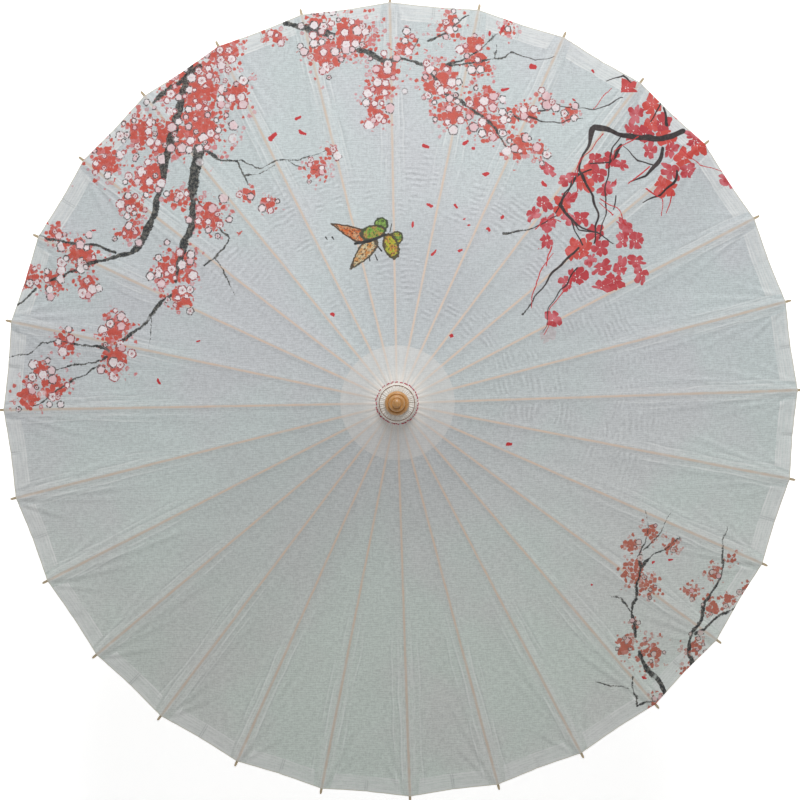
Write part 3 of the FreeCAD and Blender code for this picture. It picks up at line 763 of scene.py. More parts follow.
# ================================================================ the painting
# Branches as points across the canopy, in hundredths of its radius, with half widths in mm.
BRANCHES = [
    [(-52.0, 84.0, 4.6), (-55.0, 71.0, 5.0), (-58.0, 57.0, 4.2), (-60.5, 45.0, 3.2),
     (-65.5, 38.0, 3.0), (-75.0, 34.6, 2.0), (-87.0, 31.2, 1.2)],
    [(-61.5, 74.0, 1.6), (-54.0, 80.5, 2.8), (-49.5, 84.0, 2.4)],
    [(-49.2, 63.0, 4.2), (-50.6, 49.0, 4.0), (-53.0, 35.5, 3.1), (-54.2, 30.5, 2.2)],
    [(-49.0, 62.5, 1.6), (-41.0, 59.5, 0.9), (-34.0, 58.6, 0.7), (-27.0, 59.6, 0.7), (-17.5, 62.3, 0.4)],
    [(-40.5, 59.3, 0.9), (-36.8, 54.6, 0.5)],
    [(-38.0, 56.6, 0.5), (-30.5, 58.0, 0.3)],
    [(-27.0, 59.6, 0.5), (-20.0, 57.0, 0.3)],
    [(-44.0, 43.6, 1.0), (-41.4, 41.0, 0.9), (-43.2, 37.8, 0.9), (-47.0, 34.2, 0.6)],
    [(-44.8, 36.4, 0.8), (-39.6, 27.6, 0.6)],
    [(-50.4, 52.0, 1.3), (-48.0, 48.6, 0.8)],
    [(-56.0, 27.0, 1.8), (-60.0, 22.8, 2.0), (-64.4, 18.6, 1.9), (-68.8, 14.2, 1.5)],
    [(-60.6, 22.0, 0.5), (-61.4, 13.6, 0.3)],
    [(-72.0, 13.2, 2.0), (-78.5, 14.6, 1.0), (-88.6, 15.4, 0.6), (-97.4, 11.2, 0.4)],
    [(-72.5, 11.6, 1.0), (-77.4, 10.2, 0.8), (-89.4, 8.5, 0.5)],
    [(-74.0, 10.0, 1.2), (-84.5, 2.8, 1.0), (-90.5, 0.2, 0.6)],
    [(-69.6, 38.0, 1.9), (-76.6, 39.8, 1.6), (-89.4, 42.0, 1.0)],
    [(-90.2, 28.2, 1.4), (-95.8, 24.2, 0.9)],
    [(-28.5, 94.4, 2.4), (-16.6, 92.0, 2.8)],
    [(-10.0, 88.2, 2.4), (-4.0, 85.4, 1.8), (0.6, 84.4, 1.6), (6.6, 83.0, 1.9),
     (10.4, 77.0, 2.0), (13.8, 74.6, 1.6), (22.0, 69.2, 1.2), (26.6, 63.2, 1.0), (30.8, 61.2, 0.6)],
    [(11.4, 83.0, 1.0), (16.0, 85.2, 1.2), (21.2, 88.6, 0.8), (25.4, 91.8, 0.5)],
    [(11.4, 83.0, 1.2), (19.6, 84.2, 1.0), (28.2, 86.6, 0.7), (33.6, 84.4, 0.5), (38.2, 85.6, 0.4)],
    [(23.6, 85.4, 0.6), (24.2, 88.6, 0.4)],
    [(7.4, 89.8, 1.2), (12.0, 92.0, 1.0), (17.4, 95.6, 0.7)],
    [(2.4, 86.8, 0.7), (4.6, 90.4, 0.5)],
    [(28.0, 71.4, 0.9), (33.6, 70.4, 0.7), (40.4, 68.4, 0.5), (44.8, 69.8, 0.4)],
    [(33.4, 71.8, 0.8), (40.6, 72.4, 0.6), (47.6, 73.4, 0.5), (55.4, 75.6, 0.5)],
    [(69.6, 68.0, 3.0), (64.8, 66.2, 3.1), (59.6, 65.6, 2.7), (54.0, 66.8, 2.1), (48.4, 68.2, 3.2)],
    [(48.0, 67.8, 2.6), (45.2, 61.0, 1.2), (44.8, 56.8, 1.0), (47.2, 51.4, 1.2), (48.0, 45.0, 1.0),
     (47.4, 39.6, 0.8)],
    [(44.6, 56.0, 1.0), (40.2, 51.8, 0.9), (39.4, 48.8, 2.2), (42.8, 45.4, 0.9), (45.2, 39.4, 0.8)],
    [(43.0, 45.2, 0.9), (49.0, 42.0, 0.5)],
    [(44.2, 38.6, 1.1), (38.0, 32.4, 1.1), (29.2, 21.8, 0.5)],
    [(25.6, 41.8, 1.4), (31.0, 42.4, 0.7), (39.2, 46.0, 0.5)],
    [(54.8, 64.0, 1.8), (51.2, 59.4, 1.0), (46.8, 58.6, 0.6)],
    [(64.8, 63.2, 2.0), (62.8, 59.0, 2.3), (60.8, 56.2, 1.2), (57.4, 54.2, 0.6)],
    [(53.4, 51.0, 0.9), (52.0, 47.4, 0.6)],
    [(62.0, 70.0, 0.6), (64.4, 74.6, 0.9)],
    [(54.6, 66.4, 0.7), (51.4, 61.2, 0.8), (50.6, 54.6, 0.9), (50.0, 46.6, 0.8), (48.8, 40.8, 0.7)],
    [(46.8, 57.0, 0.7), (42.8, 54.8, 0.9), (39.8, 50.0, 0.8), (38.6, 46.6, 0.6)],
    [(41.8, 46.8, 0.8), (44.8, 43.4, 0.8), (48.2, 42.6, 0.9), (52.6, 39.6, 0.5)],
    [(62.8, 58.8, 0.8), (58.6, 60.4, 0.9), (55.4, 63.6, 0.5)],
    [(68.0, 58.2, 1.3), (66.6, 54.6, 1.6), (63.4, 51.4, 1.0), (60.0, 49.0, 0.5)],
    [(43.0, 33.2, 0.7), (39.0, 27.4, 0.6), (36.8, 22.6, 0.6), (34.6, 19.2, 0.3)],
    [(65.2, 73.4, 1.4), (66.0, 69.6, 1.6)],
    [(51.6, 79.8, 0.5), (55.6, 81.2, 1.0), (58.0, 79.8, 0.4)],
    [(67.2, -73.0, 3.0), (62.6, -67.0, 3.0), (59.4, -61.8, 2.4)],
    [(58.4, -57.8, 1.9), (57.6, -52.6, 1.6), (57.8, -47.2, 1.4), (58.2, -42.8, 1.1), (59.2, -37.6, 1.6),
     (60.2, -33.0, 0.7), (60.4, -25.4, 0.3)],
    [(59.0, -39.6, 1.3), (62.4, -36.4, 0.8), (69.0, -32.4, 0.5)],
    [(60.4, -35.0, 0.6), (67.2, -25.8, 0.3)],
    [(57.8, -51.2, 0.8), (55.0, -47.6, 0.6), (52.2, -46.4, 0.3)],
    [(73.2, -66.4, 2.6), (71.4, -60.4, 2.2), (71.8, -56.4, 1.6), (74.8, -51.0, 1.8), (76.4, -47.6, 1.2),
     (79.4, -41.6, 1.0), (80.2, -30.0, 0.3)],
    [(72.8, -56.4, 1.6), (80.0, -52.0, 1.4), (88.0, -45.0, 0.6)],
    [(49.0, -68.2, 0.5), (56.8, -70.2, 0.6)],
    [(57.4, -67.0, 0.6), (57.6, -72.0, 0.7), (58.4, -75.2, 1.0), (62.0, -74.6, 0.6)],
]

# Clumps of small blossom, as x, y and radius in hundredths of the canopy's radius.
CLUMPS = [
    (-50.5, 78.5, 13.0), (-49.0, 69.0, 10.5), (-57.0, 66.0, 9.0), (-43.5, 87.5, 7.0), (-40.5, 76.5, 5.5),
    (-64.5, 67.5, 6.5), (-72.5, 60.5, 6.5), (-62.0, 56.0, 6.5), (-65.5, 49.5, 5.0), (-46.5, 46.5, 6.0),
    (-54.0, 50.5, 4.0), (-55.0, 33.0, 7.5), (-52.5, 26.0, 4.5), (-69.5, 18.5, 5.5), (-69.5, 11.5, 5.5),
    (-79.0, 37.0, 6.5), (-85.5, 30.5, 4.5), (-77.0, 29.0, 4.5), (-66.5, 42.5, 4.5), (-92.0, 2.0, 5.0),
    (-85.5, 4.0, 5.0), (-92.0, 31.5, 4.5), (-82.5, 15.0, 4.5), (-88.5, 8.5, 3.5), (-31.0, 91.0, 3.5),
    (-20.0, 94.0, 5.0), (-80.0, 62.0, 4.0), (-85.0, 55.0, 3.5), (-38.5, 41.5, 1.0), (-85.0, 43.0, 3.5),
    (-37.0, 52.0, 3.0), (-31.5, 48.8, 3.2), (-20.0, 57.5, 4.0), (-16.5, 62.0, 2.5),
    (-11.5, 91.0, 8.0), (-18.5, 86.0, 6.5), (-3.0, 83.0, 5.5), (-4.5, 77.5, 5.5), (-5.5, 71.5, 4.5),
    (10.0, 80.0, 7.0), (13.0, 71.5, 5.5), (20.0, 74.0, 6.5), (22.5, 68.5, 5.5), (36.0, 74.5, 3.5),
    (12.0, 94.0, 5.0), (18.5, 88.0, 4.5), (19.0, 84.0, 5.0), (28.8, 63.5, 5.0), (34.5, 62.0, 3.5),
    (26.5, 92.5, 3.0), (2.0, 88.5, 4.0), (32.0, 71.5, 3.5), (27.5, 70.5, 3.5), (42.0, 71.5, 3.0),
]
RUST_CLUMPS = [
    (57.5, -41.0, 4.9), (61.5, -44.5, 3.4), (57.8, -54.0, 2.0), (61.8, -61.5, 5.3), (55.5, -59.5, 3.4),
    (64.0, -74.0, 3.4), (77.5, -50.0, 3.4), (81.0, -48.0, 3.0), (72.0, -46.0, 3.0), (73.5, -60.0, 3.8),
    (77.6, -41.5, 2.7), (67.0, -34.5, 2.7), (62.0, -31.0, 3.2), (82.0, -38.0, 2.7), (86.0, -46.0, 2.3),
    (71.5, -67.0, 3.0), (57.0, -34.0, 2.7),
]
BOLD_CLUMPS = [
    (41.5, 56.0, 6.0), (49.0, 56.0, 6.0), (38.0, 47.5, 5.0), (41.0, 43.0, 6.0), (53.5, 39.0, 7.0),
    (58.0, 36.0, 5.0), (44.0, 33.5, 6.0), (52.0, 32.5, 5.5), (60.5, 70.0, 5.5), (67.0, 62.0, 5.0),
    (67.0, 56.0, 5.5), (61.0, 62.5, 3.6), (55.5, 61.5, 3.4), (73.0, 65.5, 3.6), (56.5, 79.0, 3.2),
    (33.2, 24.8, 2.6), (38.4, 19.6, 3.0), (51.4, 46.0, 3.6), (80.5, 56.0, 3.2), (67.5, 71.0, 4.0),
]
# Single petals and buds: x, y in hundredths of the radius, length in mm, lean in degrees.
PETALS = [
    (6.2, 63.2, 4.4, -15), (16.6, 64.0, 4.2, 20), (21.6, 56.8, 4.2, 35), (35.2, 53.4, 4.6, -20),
    (7.6, 48.4, 4.0, -25), (13.8, 48.2, 4.2, -50), (24.6, 46.0, 4.0, 30), (21.6, 42.2, 3.4, -50),
    (3.8, 43.4, 3.6, 70), (8.6, 37.6, 3.8, 60), (15.4, 37.8, 3.8, 20), (16.4, 45.8, 2.2, 30),
    (17.6, 44.4, 2.0, 0), (13.0, 17.6, 3.2, 40), (-24.8, 70.4, 4.6, 15), (-24.0, 66.8, 4.2, -20),
    (-30.8, 66.2, 5.4, 30), (-16.0, 22.4, 4.6, -50), (-58.6, 6.0, 3.6, -60), (26.4, -8.2, 4.4, -10),
    (-76.0, 43.5, 2.4, 10), (-48.5, 15.5, 2.4, 20), (-78.4, 18.6, 3.0, -10), (26.0, 77.6, 5.0, 20),
    (33.2, 83.0, 5.2, -15), (22.6, 91.0, 3.2, 80), (25.2, 92.4, 3.6, 60), (27.0, 94.0, 3.2, 90),
    (18.2, 62.6, 2.2, 0), (43.0, 75.0, 2.4, 0), (48.0, 82.4, 2.8, -60), (62.0, -38.5, 3.0, 30),
    (66.4, -38.0, 3.0, 0), (60.4, -67.0, 3.0, -30), (47.0, -43.2, 2.2, 0), (46.6, 36.6, 1.8, 0),
]
# Thin red stems: like the branches, but painted in red.
STEMS = [
    [(36.6, 38.8, 0.9), (36.0, 33.6, 0.6)],
    [(67.0, 52.4, 1.0), (65.6, 46.6, 0.5)],
    [(42.2, 31.6, 0.6), (35.0, 18.6, 0.4)],
    [(61.4, 58.6, 0.8), (57.2, 53.8, 0.6)],
    [(52.8, 77.6, 0.4), (47.6, 73.6, 0.3)],
    [(52.0, 46.0, 0.6), (48.6, 49.6, 0.4)],
    [(50.4, 66.4, 0.6), (45.6, 60.8, 0.5), (43.0, 54.6, 0.4)],
    [(58.8, 66.0, 0.6), (53.0, 62.6, 0.5), (50.8, 57.8, 0.3)],
    [(44.8, 60.2, 0.5), (44.0, 52.8, 0.5), (41.6, 49.6, 0.4)],
    [(48.8, 50.6, 0.6), (52.8, 47.8, 0.5), (55.4, 44.0, 0.4)],
    [(40.2, 44.6, 0.6), (35.8, 45.4, 0.6), (33.2, 42.8, 0.5)],
    [(60.8, 52.8, 0.9), (64.0, 50.6, 0.6), (64.2, 46.4, 0.4)],
    [(70.2, 62.8, 0.7), (74.8, 58.6, 0.5), (80.0, 57.4, 0.4)],
    [(37.4, 37.0, 0.5), (33.2, 30.4, 0.7), (31.8, 24.0, 0.3)],
]
PAINTING_TURN = math.radians(-CAMERA_ROLL)
MM_PER_PART = 4.2


def painted(x, y):
    """Place on the canopy in mm, from hundredths of its radius"""
    c, s = math.cos(PAINTING_TURN), math.sin(PAINTING_TURN)
    y -= 1.0
    return Vector(((x * c - y * s) * MM_PER_PART, (x * s + y * c) * MM_PER_PART, 0.0))


def crosses(index, points, margin):
    """Whether anything within margin of these points lies on a rib's sector"""
    for point in points:
        radius = max(point.length, 1.0)
        away = math.atan2(point.y, point.x) - turn(index)
        away = abs((away + math.pi) % (2 * math.pi) - math.pi)
        if away < PITCH / 2 + math.asin(min(1.0, margin / radius)) + 0.004:
            return True
    return False


def pieces_of(line):
    """Runs of one brush stroke, each as start, end and the two half widths"""
    for (x0, y0, w0), (x1, y1, w1) in zip(line, line[1:]):
        yield painted(x0, y0), painted(x1, y1), w0, w1


def nearest_stroke(g, point, runs):
    """Distance from a point to the nearest of the runs, or None where there are none"""
    best = None
    for begin, finish, w0, w1 in runs:
        reach = finish - begin
        best = g.group(shared("Brush stroke", build_brush_stroke), {
            "Point": point, "Best": FAR if best is None else best, "Start": begin, "Reach": reach,
            "Unit": reach / reach.length_squared, "Half width": w0, "Taper": w1 - w0})[0]
    return best


def stroke_chain(g, index, point, lines, loose=()):
    """Distance to the nearest of the strokes that cross one sector, or None"""
    runs = [run for line in lines for run in pieces_of(line)]
    for x, y, length, lean in loose:
        lean = math.radians(lean)
        half = Vector((math.cos(lean), math.sin(lean), 0)) * length * 0.40
        runs.append((painted(x, y) - half, painted(x, y) + half, length * 0.46, length * 0.34))
    near = []
    for run in runs:
        begin, finish, w0, w1 = run
        samples = [begin.lerp(finish, t / 6) for t in range(7)]
        if crosses(index, samples, max(w0, w1) + STROKE_MARGIN + (finish - begin).length / 12):
            near.append(run)
    return nearest_stroke(g, point, near)


def clump_chain(g, index, point, clumps, reach):
    """Cover of the clumps that come within reach (mm) of one sector, or None"""
    tree = shared("Blossom spot", build_blossom_spot)
    best = None
    for x, y, radius in clumps:
        centre = painted(x, y)
        size = radius * MM_PER_PART * 1.1
        if crosses(index, [centre], size + reach):
            best = g.group(tree, {"Point": point, "Best": -1.0 if best is None else best,
                                  "Centre": centre, "Radius": size})[0]
    return best


def blossoms(g, index, point, colour, clumps, size, build, shake=(1.6, 0.22), **paints):
    """One layer of blossoms over a list of clumps, painted over the colour so far"""
    cells = g.group(shared("Blossom cells", build_blossom_cells), {
        "Point": point, "Size": size, "Shake": shake[0], "Shake scale": shake[1]})
    cover = clump_chain(g, index, cells["Centre"], clumps, size + 3.0)
    if cover is None:
        g.tree.nodes.remove(cells[0].node)
        return colour
    return over(g, colour, g.group(shared(build.__name__[6:], build), {
        "Point": point, "Away": cells["Away"], "Distance": cells["Distance"],
        "Chance": cells["Chance"], "Cover": cover,
        **{key.replace("_", " ").capitalize(): value for key, value in paints.items()}}))


def over(g, colour, outputs):
    """Colour so far with one layer of paint laid over it"""
    return g.mix(outputs["Alpha"], colour, outputs["Colour"])


# A butterfly's wings: x, y, length, width, lean, sharpness, and its two colours.
WINGS = [
    (-10.8, 43.0, 21.0, 5.8, 155, 0.60, (0.68, 0.40, 0.22, 1), (0.66, 0.15, 0.03, 1)),
    (-7.8, 37.8, 19.0, 6.6, 229, 0.50, (0.68, 0.58, 0.36, 1), (0.62, 0.28, 0.08, 1)),
    (-3.6, 44.8, 7.0, 6.6, 60, 0.0, (0.28, 0.44, 0.10, 1), (0.20, 0.36, 0.06, 1)),
    (-5.5, 42.9, 12.6, 7.0, 10, 0.0, (0.20, 0.42, 0.05, 1), (0.50, 0.30, 0.08, 1)),
    (0.2, 41.6, 6.4, 6.0, 60, 0.0, (0.20, 0.38, 0.06, 1), (0.56, 0.40, 0.04, 1)),
    (-1.1, 39.6, 12.6, 7.2, -72, 0.0, (0.50, 0.52, 0.04, 1), (0.56, 0.26, 0.05, 1)),
]
# Its body, feelers and legs, and two dabs of ink beside it: like the branches.
BODY = [
    [(-3.0, 41.5, 1.1), (-7.0, 39.9, 1.7), (-10.4, 39.3, 1.3)],
    [(-2.0, 42.1, 0.5), (-1.6, 44.1, 0.4)], [(-4.8, 38.5, 0.6), (-4.0, 37.5, 0.9)],
    [(-5.6, 36.7, 0.4), (-5.0, 35.3, 0.7)], [(-7.0, 36.3, 0.5), (-6.8, 35.1, 0.6)],
    [(-17.6, 40.9, 0.8), (-17.2, 40.3, 0.4)], [(-16.0, 40.9, 0.9), (-15.6, 40.3, 0.4)],
]


def butterfly(g, point, colour):
    """A plain garden butterfly: two orange wings, green and yellow ones, and a dark body"""
    wing = shared("Wing", build_wing)
    mottle = g.noise(point, 0.42, 3.0, 0.75)
    wobble = g.scale_add(g.noise(point, 0.30, 2.0, 0.6), 0.50, -0.25)
    for x, y, length, width, lean, sharp, tint, deep in WINGS:
        lean = math.radians(lean)
        out = g.group(wing, {"Point": point, "Centre": painted(x - 0.6, y - 0.9), "Sharp": sharp,
                             "Long axis": Vector((math.cos(lean), math.sin(lean), 0)) / length,
                             "Short axis": Vector((-math.sin(lean), math.cos(lean), 0)) / width})
        edge = g.plus(out["Edge"], wobble)
        tone = g.mix(g.step(g.noise(point, 0.22, 3.0, 0.65), 0.42, 0.58), tint, deep)
        dark = g.larger(g.step(g.absolute(edge), 0.24, 0.10), g.step(mottle, 0.52, 0.60))
        dark = g.larger(dark, g.times(out["Veins"], 0.35))
        tone = g.mix(g.times(dark, 0.90), tone, WING_INK)
        colour = g.mix(g.step(edge, 0.16, 0.06), colour, tone)
    body = nearest_stroke(g, point, [run for line in BODY for run in pieces_of(line)])
    return g.mix(g.step(body, 0.3, -0.3), colour, BODY_INK)


def cloth_material(index, settings):
    """Oiled cloth with the part of the painting that crosses one rib's sector"""
    material = bpy.data.materials.new("oiled_cloth_" + number(index))
    material.use_nodes = True
    material.node_tree.nodes.clear()
    g = Graph(material.node_tree)
    plan = g.add("ShaderNodeUVMap", uv_map="plan").outputs[0]
    gore = g.split(g.add("ShaderNodeUVMap", uv_map="gore").outputs[0])
    point = g.scaled(plan, 1000.0)
    along = g.times(gore[0], 1000.0)
    beside = g.times(gore[1], 1000.0)
    cloth = g.group(shared("Oiled cloth", build_oiled_cloth), {
        "Point": point, "Along": along, "Beside": beside, "Cool": rgba(settings.cool),
        "Warm": rgba(settings.warm), "Rib line": rgba(settings.rib_show)})
    colour = cloth["Colour"]
    colour = blossoms(g, index, point, colour, CLUMPS, DAB_SIZE, build_red_dabs, **RED_DABS)
    colour = blossoms(g, index, point, colour, RUST_CLUMPS, RUST_DAB_SIZE, build_red_dabs, **RUST_DABS)
    colour = blossoms(g, index, point, colour, BOLD_CLUMPS, BOLD_SIZE, build_bold_blossoms,
                      shake=BOLD_SHAKE, **BOLD_PAINT)
    path = g.group(shared("Brush path", build_brush_path), {"Point": point})[0]
    ink = stroke_chain(g, index, path, BRANCHES)
    if ink is not None:
        colour = over(g, colour, g.group(shared("Ink", build_ink), {
            "Point": point, "Distance": ink, "Ink": rgba(settings.ink), "Worn": WORN_INK}))
    colour = blossoms(g, index, point, colour, CLUMPS, WHITE_SIZE, build_white_blossoms, **WHITE_PAINT)
    colour = blossoms(g, index, point, colour, RUST_CLUMPS, FADED_SIZE, build_white_blossoms,
                      **FADED_PAINT)
    red = stroke_chain(g, index, path, STEMS, PETALS)
    if red is not None:
        wobble = g.scale_add(g.noise(point, 0.9, 2.0), 1.4, -0.7)
        colour = g.mix(g.step(g.plus(red, wobble), 0.25, -0.25), colour, STEM_RED)
    if crosses(index, [painted(*BUTTERFLY_PLACE)], BUTTERFLY_REACH):
        colour = butterfly(g, point, colour)
    bump = g.add("ShaderNodeBump", {
        "Height": cloth["Height"], "Distance": 0.00022, "Strength": 0.6}).outputs[0]
    shader = g.add("ShaderNodeBsdfPrincipled", {
        "Base Color": colour, "Roughness": cloth["Roughness"], "Normal": bump,
        "Specular IOR Level": 0.35, "Coat Roughness": 0.45}).outputs[0]
    glow = g.add("ShaderNodeBsdfTranslucent", {"Color": colour, "Normal": bump}).outputs[0]
    both = g.add("ShaderNodeMixShader", {0: 0.18, 1: shader, 2: glow}).outputs[0]
    g.add("ShaderNodeOutputMaterial", {"Surface": both})
    return material


# ================================================================ the cloth's shape
def along_rib(s, lift):
    """Radius and height of a point s along a rib and lift above its pivots"""
    bend = np.maximum(s - LINK, 0.0) / DROOP_RADIUS
    x = np.minimum(s, LINK) + (DROOP_RADIUS + lift) * np.sin(bend)
    rise = (DROOP_RADIUS + lift) * np.cos(bend) - DROOP_RADIUS
    return PIVOT_RADIUS + x * RIB_OUT + rise * RIB_DOWN, PIVOT_HEIGHT - x * RIB_DOWN + rise * RIB_OUT


def half_gore(s):
    """Half the width of the cloth between two ribs, s along them"""
    return along_rib(s, CLOTH_LIFT)[0] * math.sin(PITCH / 2)


def fade(value, low, high):
    """Smooth step from 0 at low to 1 at high"""
    t = np.clip((value - low) / (high - low), 0.0, 1.0)
    return t * t * (3 - 2 * t)


def relief(s, y, half, side, gore, rib):
    """Height of the cloth's creases, puckers and ripples above its plain shape"""
    rng = np.random.default_rng(1000 + gore)
    phase = rng.uniform(0, 2 * math.pi, 12)
    size = rng.uniform(0.5, 1.3, 8)
    tip_rng = np.random.default_rng(5000 + 2 * rib + (1 if side > 0 else 0))
    tip_phase = tip_rng.uniform(0, 2 * math.pi, 4)
    tip_size = tip_rng.uniform(0.5, 1.3, 6)
    middle = half - y
    u = np.where(side > 0, y, 2 * half - y) / (2 * half)
    span = np.maximum(np.sin(math.pi * u), 0.0)
    out = np.maximum(s - CLOTH_START, 0.0) / (CLOTH_END - CLOTH_START)
    # the cloth lies a little lower between the ribs, and pulls down off each rib's edge
    height = -SAG * span ** 1.4 * out ** 1.5
    height -= RIB_STEP * fade(y, 0.0016, 0.0052) * fade(s, 0.02, 0.08)
    # a faint crease where the folded cloth bends between the ribs
    wave = 0.45 + 0.55 * np.sin(s * 33 + phase[0])
    height += 0.00008 * size[0] * wave * np.exp(-(middle / 0.0034) ** 2) * fade(s, 0.10, 0.20)
    # two or three folds run in from each rib's stitched tip, nearly along the rib
    back = CLOTH_END + 0.002 - s
    lean = np.arctan2(y, np.maximum(back, 1e-4) + 0.006)
    apart = fade(middle, 0.0, 0.014)
    for k, (angle, deep, long) in enumerate(TIP_FOLDS):
        angle *= 0.75 + 0.4 * tip_size[k]
        wide = 0.0022 + 0.030 * back * angle
        off = (y - (back + 0.006) * math.tan(angle)) * math.cos(angle)
        fold = np.exp(-(off / wide) ** 2) - 0.7 * np.exp(-((off - 1.9 * wide) / (1.3 * wide)) ** 2)
        height += deep * tip_size[k + 2] * fold * np.exp(-back / long) * fade(back, 0.0, 0.014) * apart
    # long drag lines beside the ribs
    for k, (place, deep) in enumerate(DRAG_LINES):
        drag = np.exp(-((y - place - 0.0030 * size[k + 2]) / 0.0021) ** 2)
        drag *= 0.4 + 0.6 * np.sin(s * (20 + 5 * k) + tip_phase[k + 1])
        height += deep * tip_size[k] * drag * fade(s, 0.14, 0.28) * fade(middle, 0.0, 0.012)
    # broad unevenness that leaves the ribs alone
    broad = np.sin(s * 42 + phase[7]) * np.sin(2 * math.pi * u + phase[8])
    broad = broad + 0.7 * np.sin(s * 78 + phase[9] + 5 * u)
    height += BROAD_HEIGHT * size[5] * broad * span ** 2 * fade(s, 0.05, 0.2)
    # the hem: one more layer, with puckers and a pleat in its middle
    hem = fade(s, CLOTH_END - HEM_WIDTH - 0.0030, CLOTH_END - HEM_WIDTH + 0.0006)
    pucker = np.sin(u * 2 * math.pi * (3.1 + 1.2 * size[6]) + phase[10]) * span
    height += hem * (HEM_LIFT + 0.00016 * size[7] * pucker)
    off = middle - 0.0050 * (size[6] - 0.9) * np.where(u < 0.5, 1, -1)
    pleat = np.exp(-(off / 0.0026) ** 2)
    height -= hem * PLEAT_DEPTH * size[4] * pleat * fade(s, CLOTH_END - HEM_WIDTH, CLOTH_END)
    # the crown's second layer, and small gathers round the head
    height += PATCH_LIFT * (1 - fade(s, CROWN_PATCH_END - 0.0016, CROWN_PATCH_END + 0.0010))
    gather = np.cos(2 * math.pi * u) + 0.9 * np.sin(4 * math.pi * u + phase[3]) * size[3]
    height += GATHER_HEIGHT * gather * np.exp(-(s - CLOTH_START) / 0.010)
    return height


def cloth_at(index, side, s, w):
    """Points of the cloth beside one rib, w from 0 at the rib to 1 mid-gore"""
    gore = index % RIB_COUNT if side > 0 else (index - 1) % RIB_COUNT
    half = half_gore(s)
    y = w * half
    # the edge between two tips is drawn in a little
    pull = EDGE_PULL * np.sin(math.pi * w / 2) ** 2 * fade(s, CLOTH_END - 0.12, CLOTH_END) ** 2
    radius, level = along_rib(s - pull, CLOTH_LIFT)
    depth = radius * (1 - w * (1 - math.cos(PITCH / 2) * math.cos(PITCH / 2)))
    side_step = w * radius * math.cos(PITCH / 2) * math.sin(PITCH / 2)
    middle = turn(index) + PITCH / 2 * side
    out_x, out_y = math.cos(turn(index)), math.sin(turn(index))
    normal = np.array([math.cos(middle) * RIB_DOWN, math.sin(middle) * RIB_DOWN, RIB_OUT])
    up = np.array([out_x * RIB_DOWN, out_y * RIB_DOWN, RIB_OUT])
    blend = fade(y, 0.0, 0.004)[..., None]
    normal = up * (1 - blend) + normal * blend
    height = relief(s, y, half, side, gore, index)
    place = np.stack([out_x * depth - out_y * side_step * side,
                      out_y * depth + out_x * side_step * side, level], axis=-1)
    return place + normal * height[..., None], y


def strip_half(s):
    """Half width of the strip of cloth that lies along a rib, s along it"""
    droop = np.maximum(s - LINK, 0.0) ** 2 / (2 * DROOP_RADIUS)
    return np.minimum(STRIP_HALF + droop * math.tan(FOLD_LEAN), half_gore(s) * 0.98)


def cloth_sheet(name, index, cells, thickness, place):
    """Sheet from a grid: place(u, v) gives side, s and w for the grid's points"""
    bm = bmesh.new()
    bmesh.ops.create_grid(bm, x_segments=cells[0], y_segments=cells[1], size=1.0)
    grid = np.array([vert.co[:] for vert in bm.verts])
    u, v = grid[:, 0] * 0.5 + 0.5, grid[:, 1] * 0.5 + 0.5
    side, s, w = place(u, v)
    points = np.zeros((len(grid), 3))
    normals = np.zeros((len(grid), 3))
    beside = np.zeros(len(grid))
    for way in (-1, 1):
        here = side == way
        if not here.any():
            continue
        sh, wh = s[here], w[here]
        points[here], beside[here] = cloth_at(index, way, sh, wh)
        beside[here] *= way
        ahead = cloth_at(index, way, sh + NORMAL_STEP, wh)[0]
        ahead = ahead - cloth_at(index, way, sh - NORMAL_STEP, wh)[0]
        step = NORMAL_STEP / half_gore(sh)
        low, high = np.maximum(wh - step, 0.0), np.minimum(wh + step, 1.0)
        across = (cloth_at(index, way, sh, high)[0] - cloth_at(index, way, sh, low)[0]) * way
        normals[here] = np.cross(ahead, across)
    for vert, point in zip(bm.verts, points):
        vert.co = point
    plan = bm.loops.layers.uv.new("plan")
    gore = bm.loops.layers.uv.new("gore")
    for face in bm.faces:
        for loop in face.loops:
            k = loop.vert.index
            loop[plan].uv = points[k, :2]
            loop[gore].uv = (s[k], beside[k])
    bm.normal_update()
    if sum(face.normal.z for face in bm.faces) < 0:
        bmesh.ops.reverse_faces(bm, faces=bm.faces)
    normals /= np.maximum(np.linalg.norm(normals, axis=1, keepdims=True), 1e-12)
    normals[normals[:, 2] < 0] *= -1
    # the lower face is a copy laid one thickness below, joined to the upper all round its edge
    top_faces = set(bm.faces)
    count = len(bm.verts)
    copied = bmesh.ops.duplicate(bm, geom=bm.verts[:] + bm.edges[:] + bm.faces[:])["geom"]
    below = [item for item in copied if isinstance(item, bmesh.types.BMVert)]
    bottom_faces = [item for item in copied if isinstance(item, bmesh.types.BMFace)]
    bm.verts.index_update()
    for vert, normal in zip(below, normals):
        vert.co -= Vector(normal) * thickness
    bmesh.ops.reverse_faces(bm, faces=bottom_faces)
    bmesh.ops.bridge_loops(bm, edges=[edge for edge in bm.edges if edge.is_boundary])
    bm.normal_update()
    split = []
    for face in bm.faces:
        face.smooth = True
        rim = face not in top_faces and any(vert.index < count for vert in face.verts)
        for loop in face.loops:
            if rim:
                split.append(tuple(face.normal))
                other = loop.vert.link_loops[0]
                loop[plan].uv, loop[gore].uv = other[plan].uv, other[gore].uv
            else:
                k = loop.vert.index
                split.append(tuple(normals[k] if k < count else -normals[k - count]))
    piece = finished(name, bm)
    piece.data.normals_split_custom_set(split)
    return piece


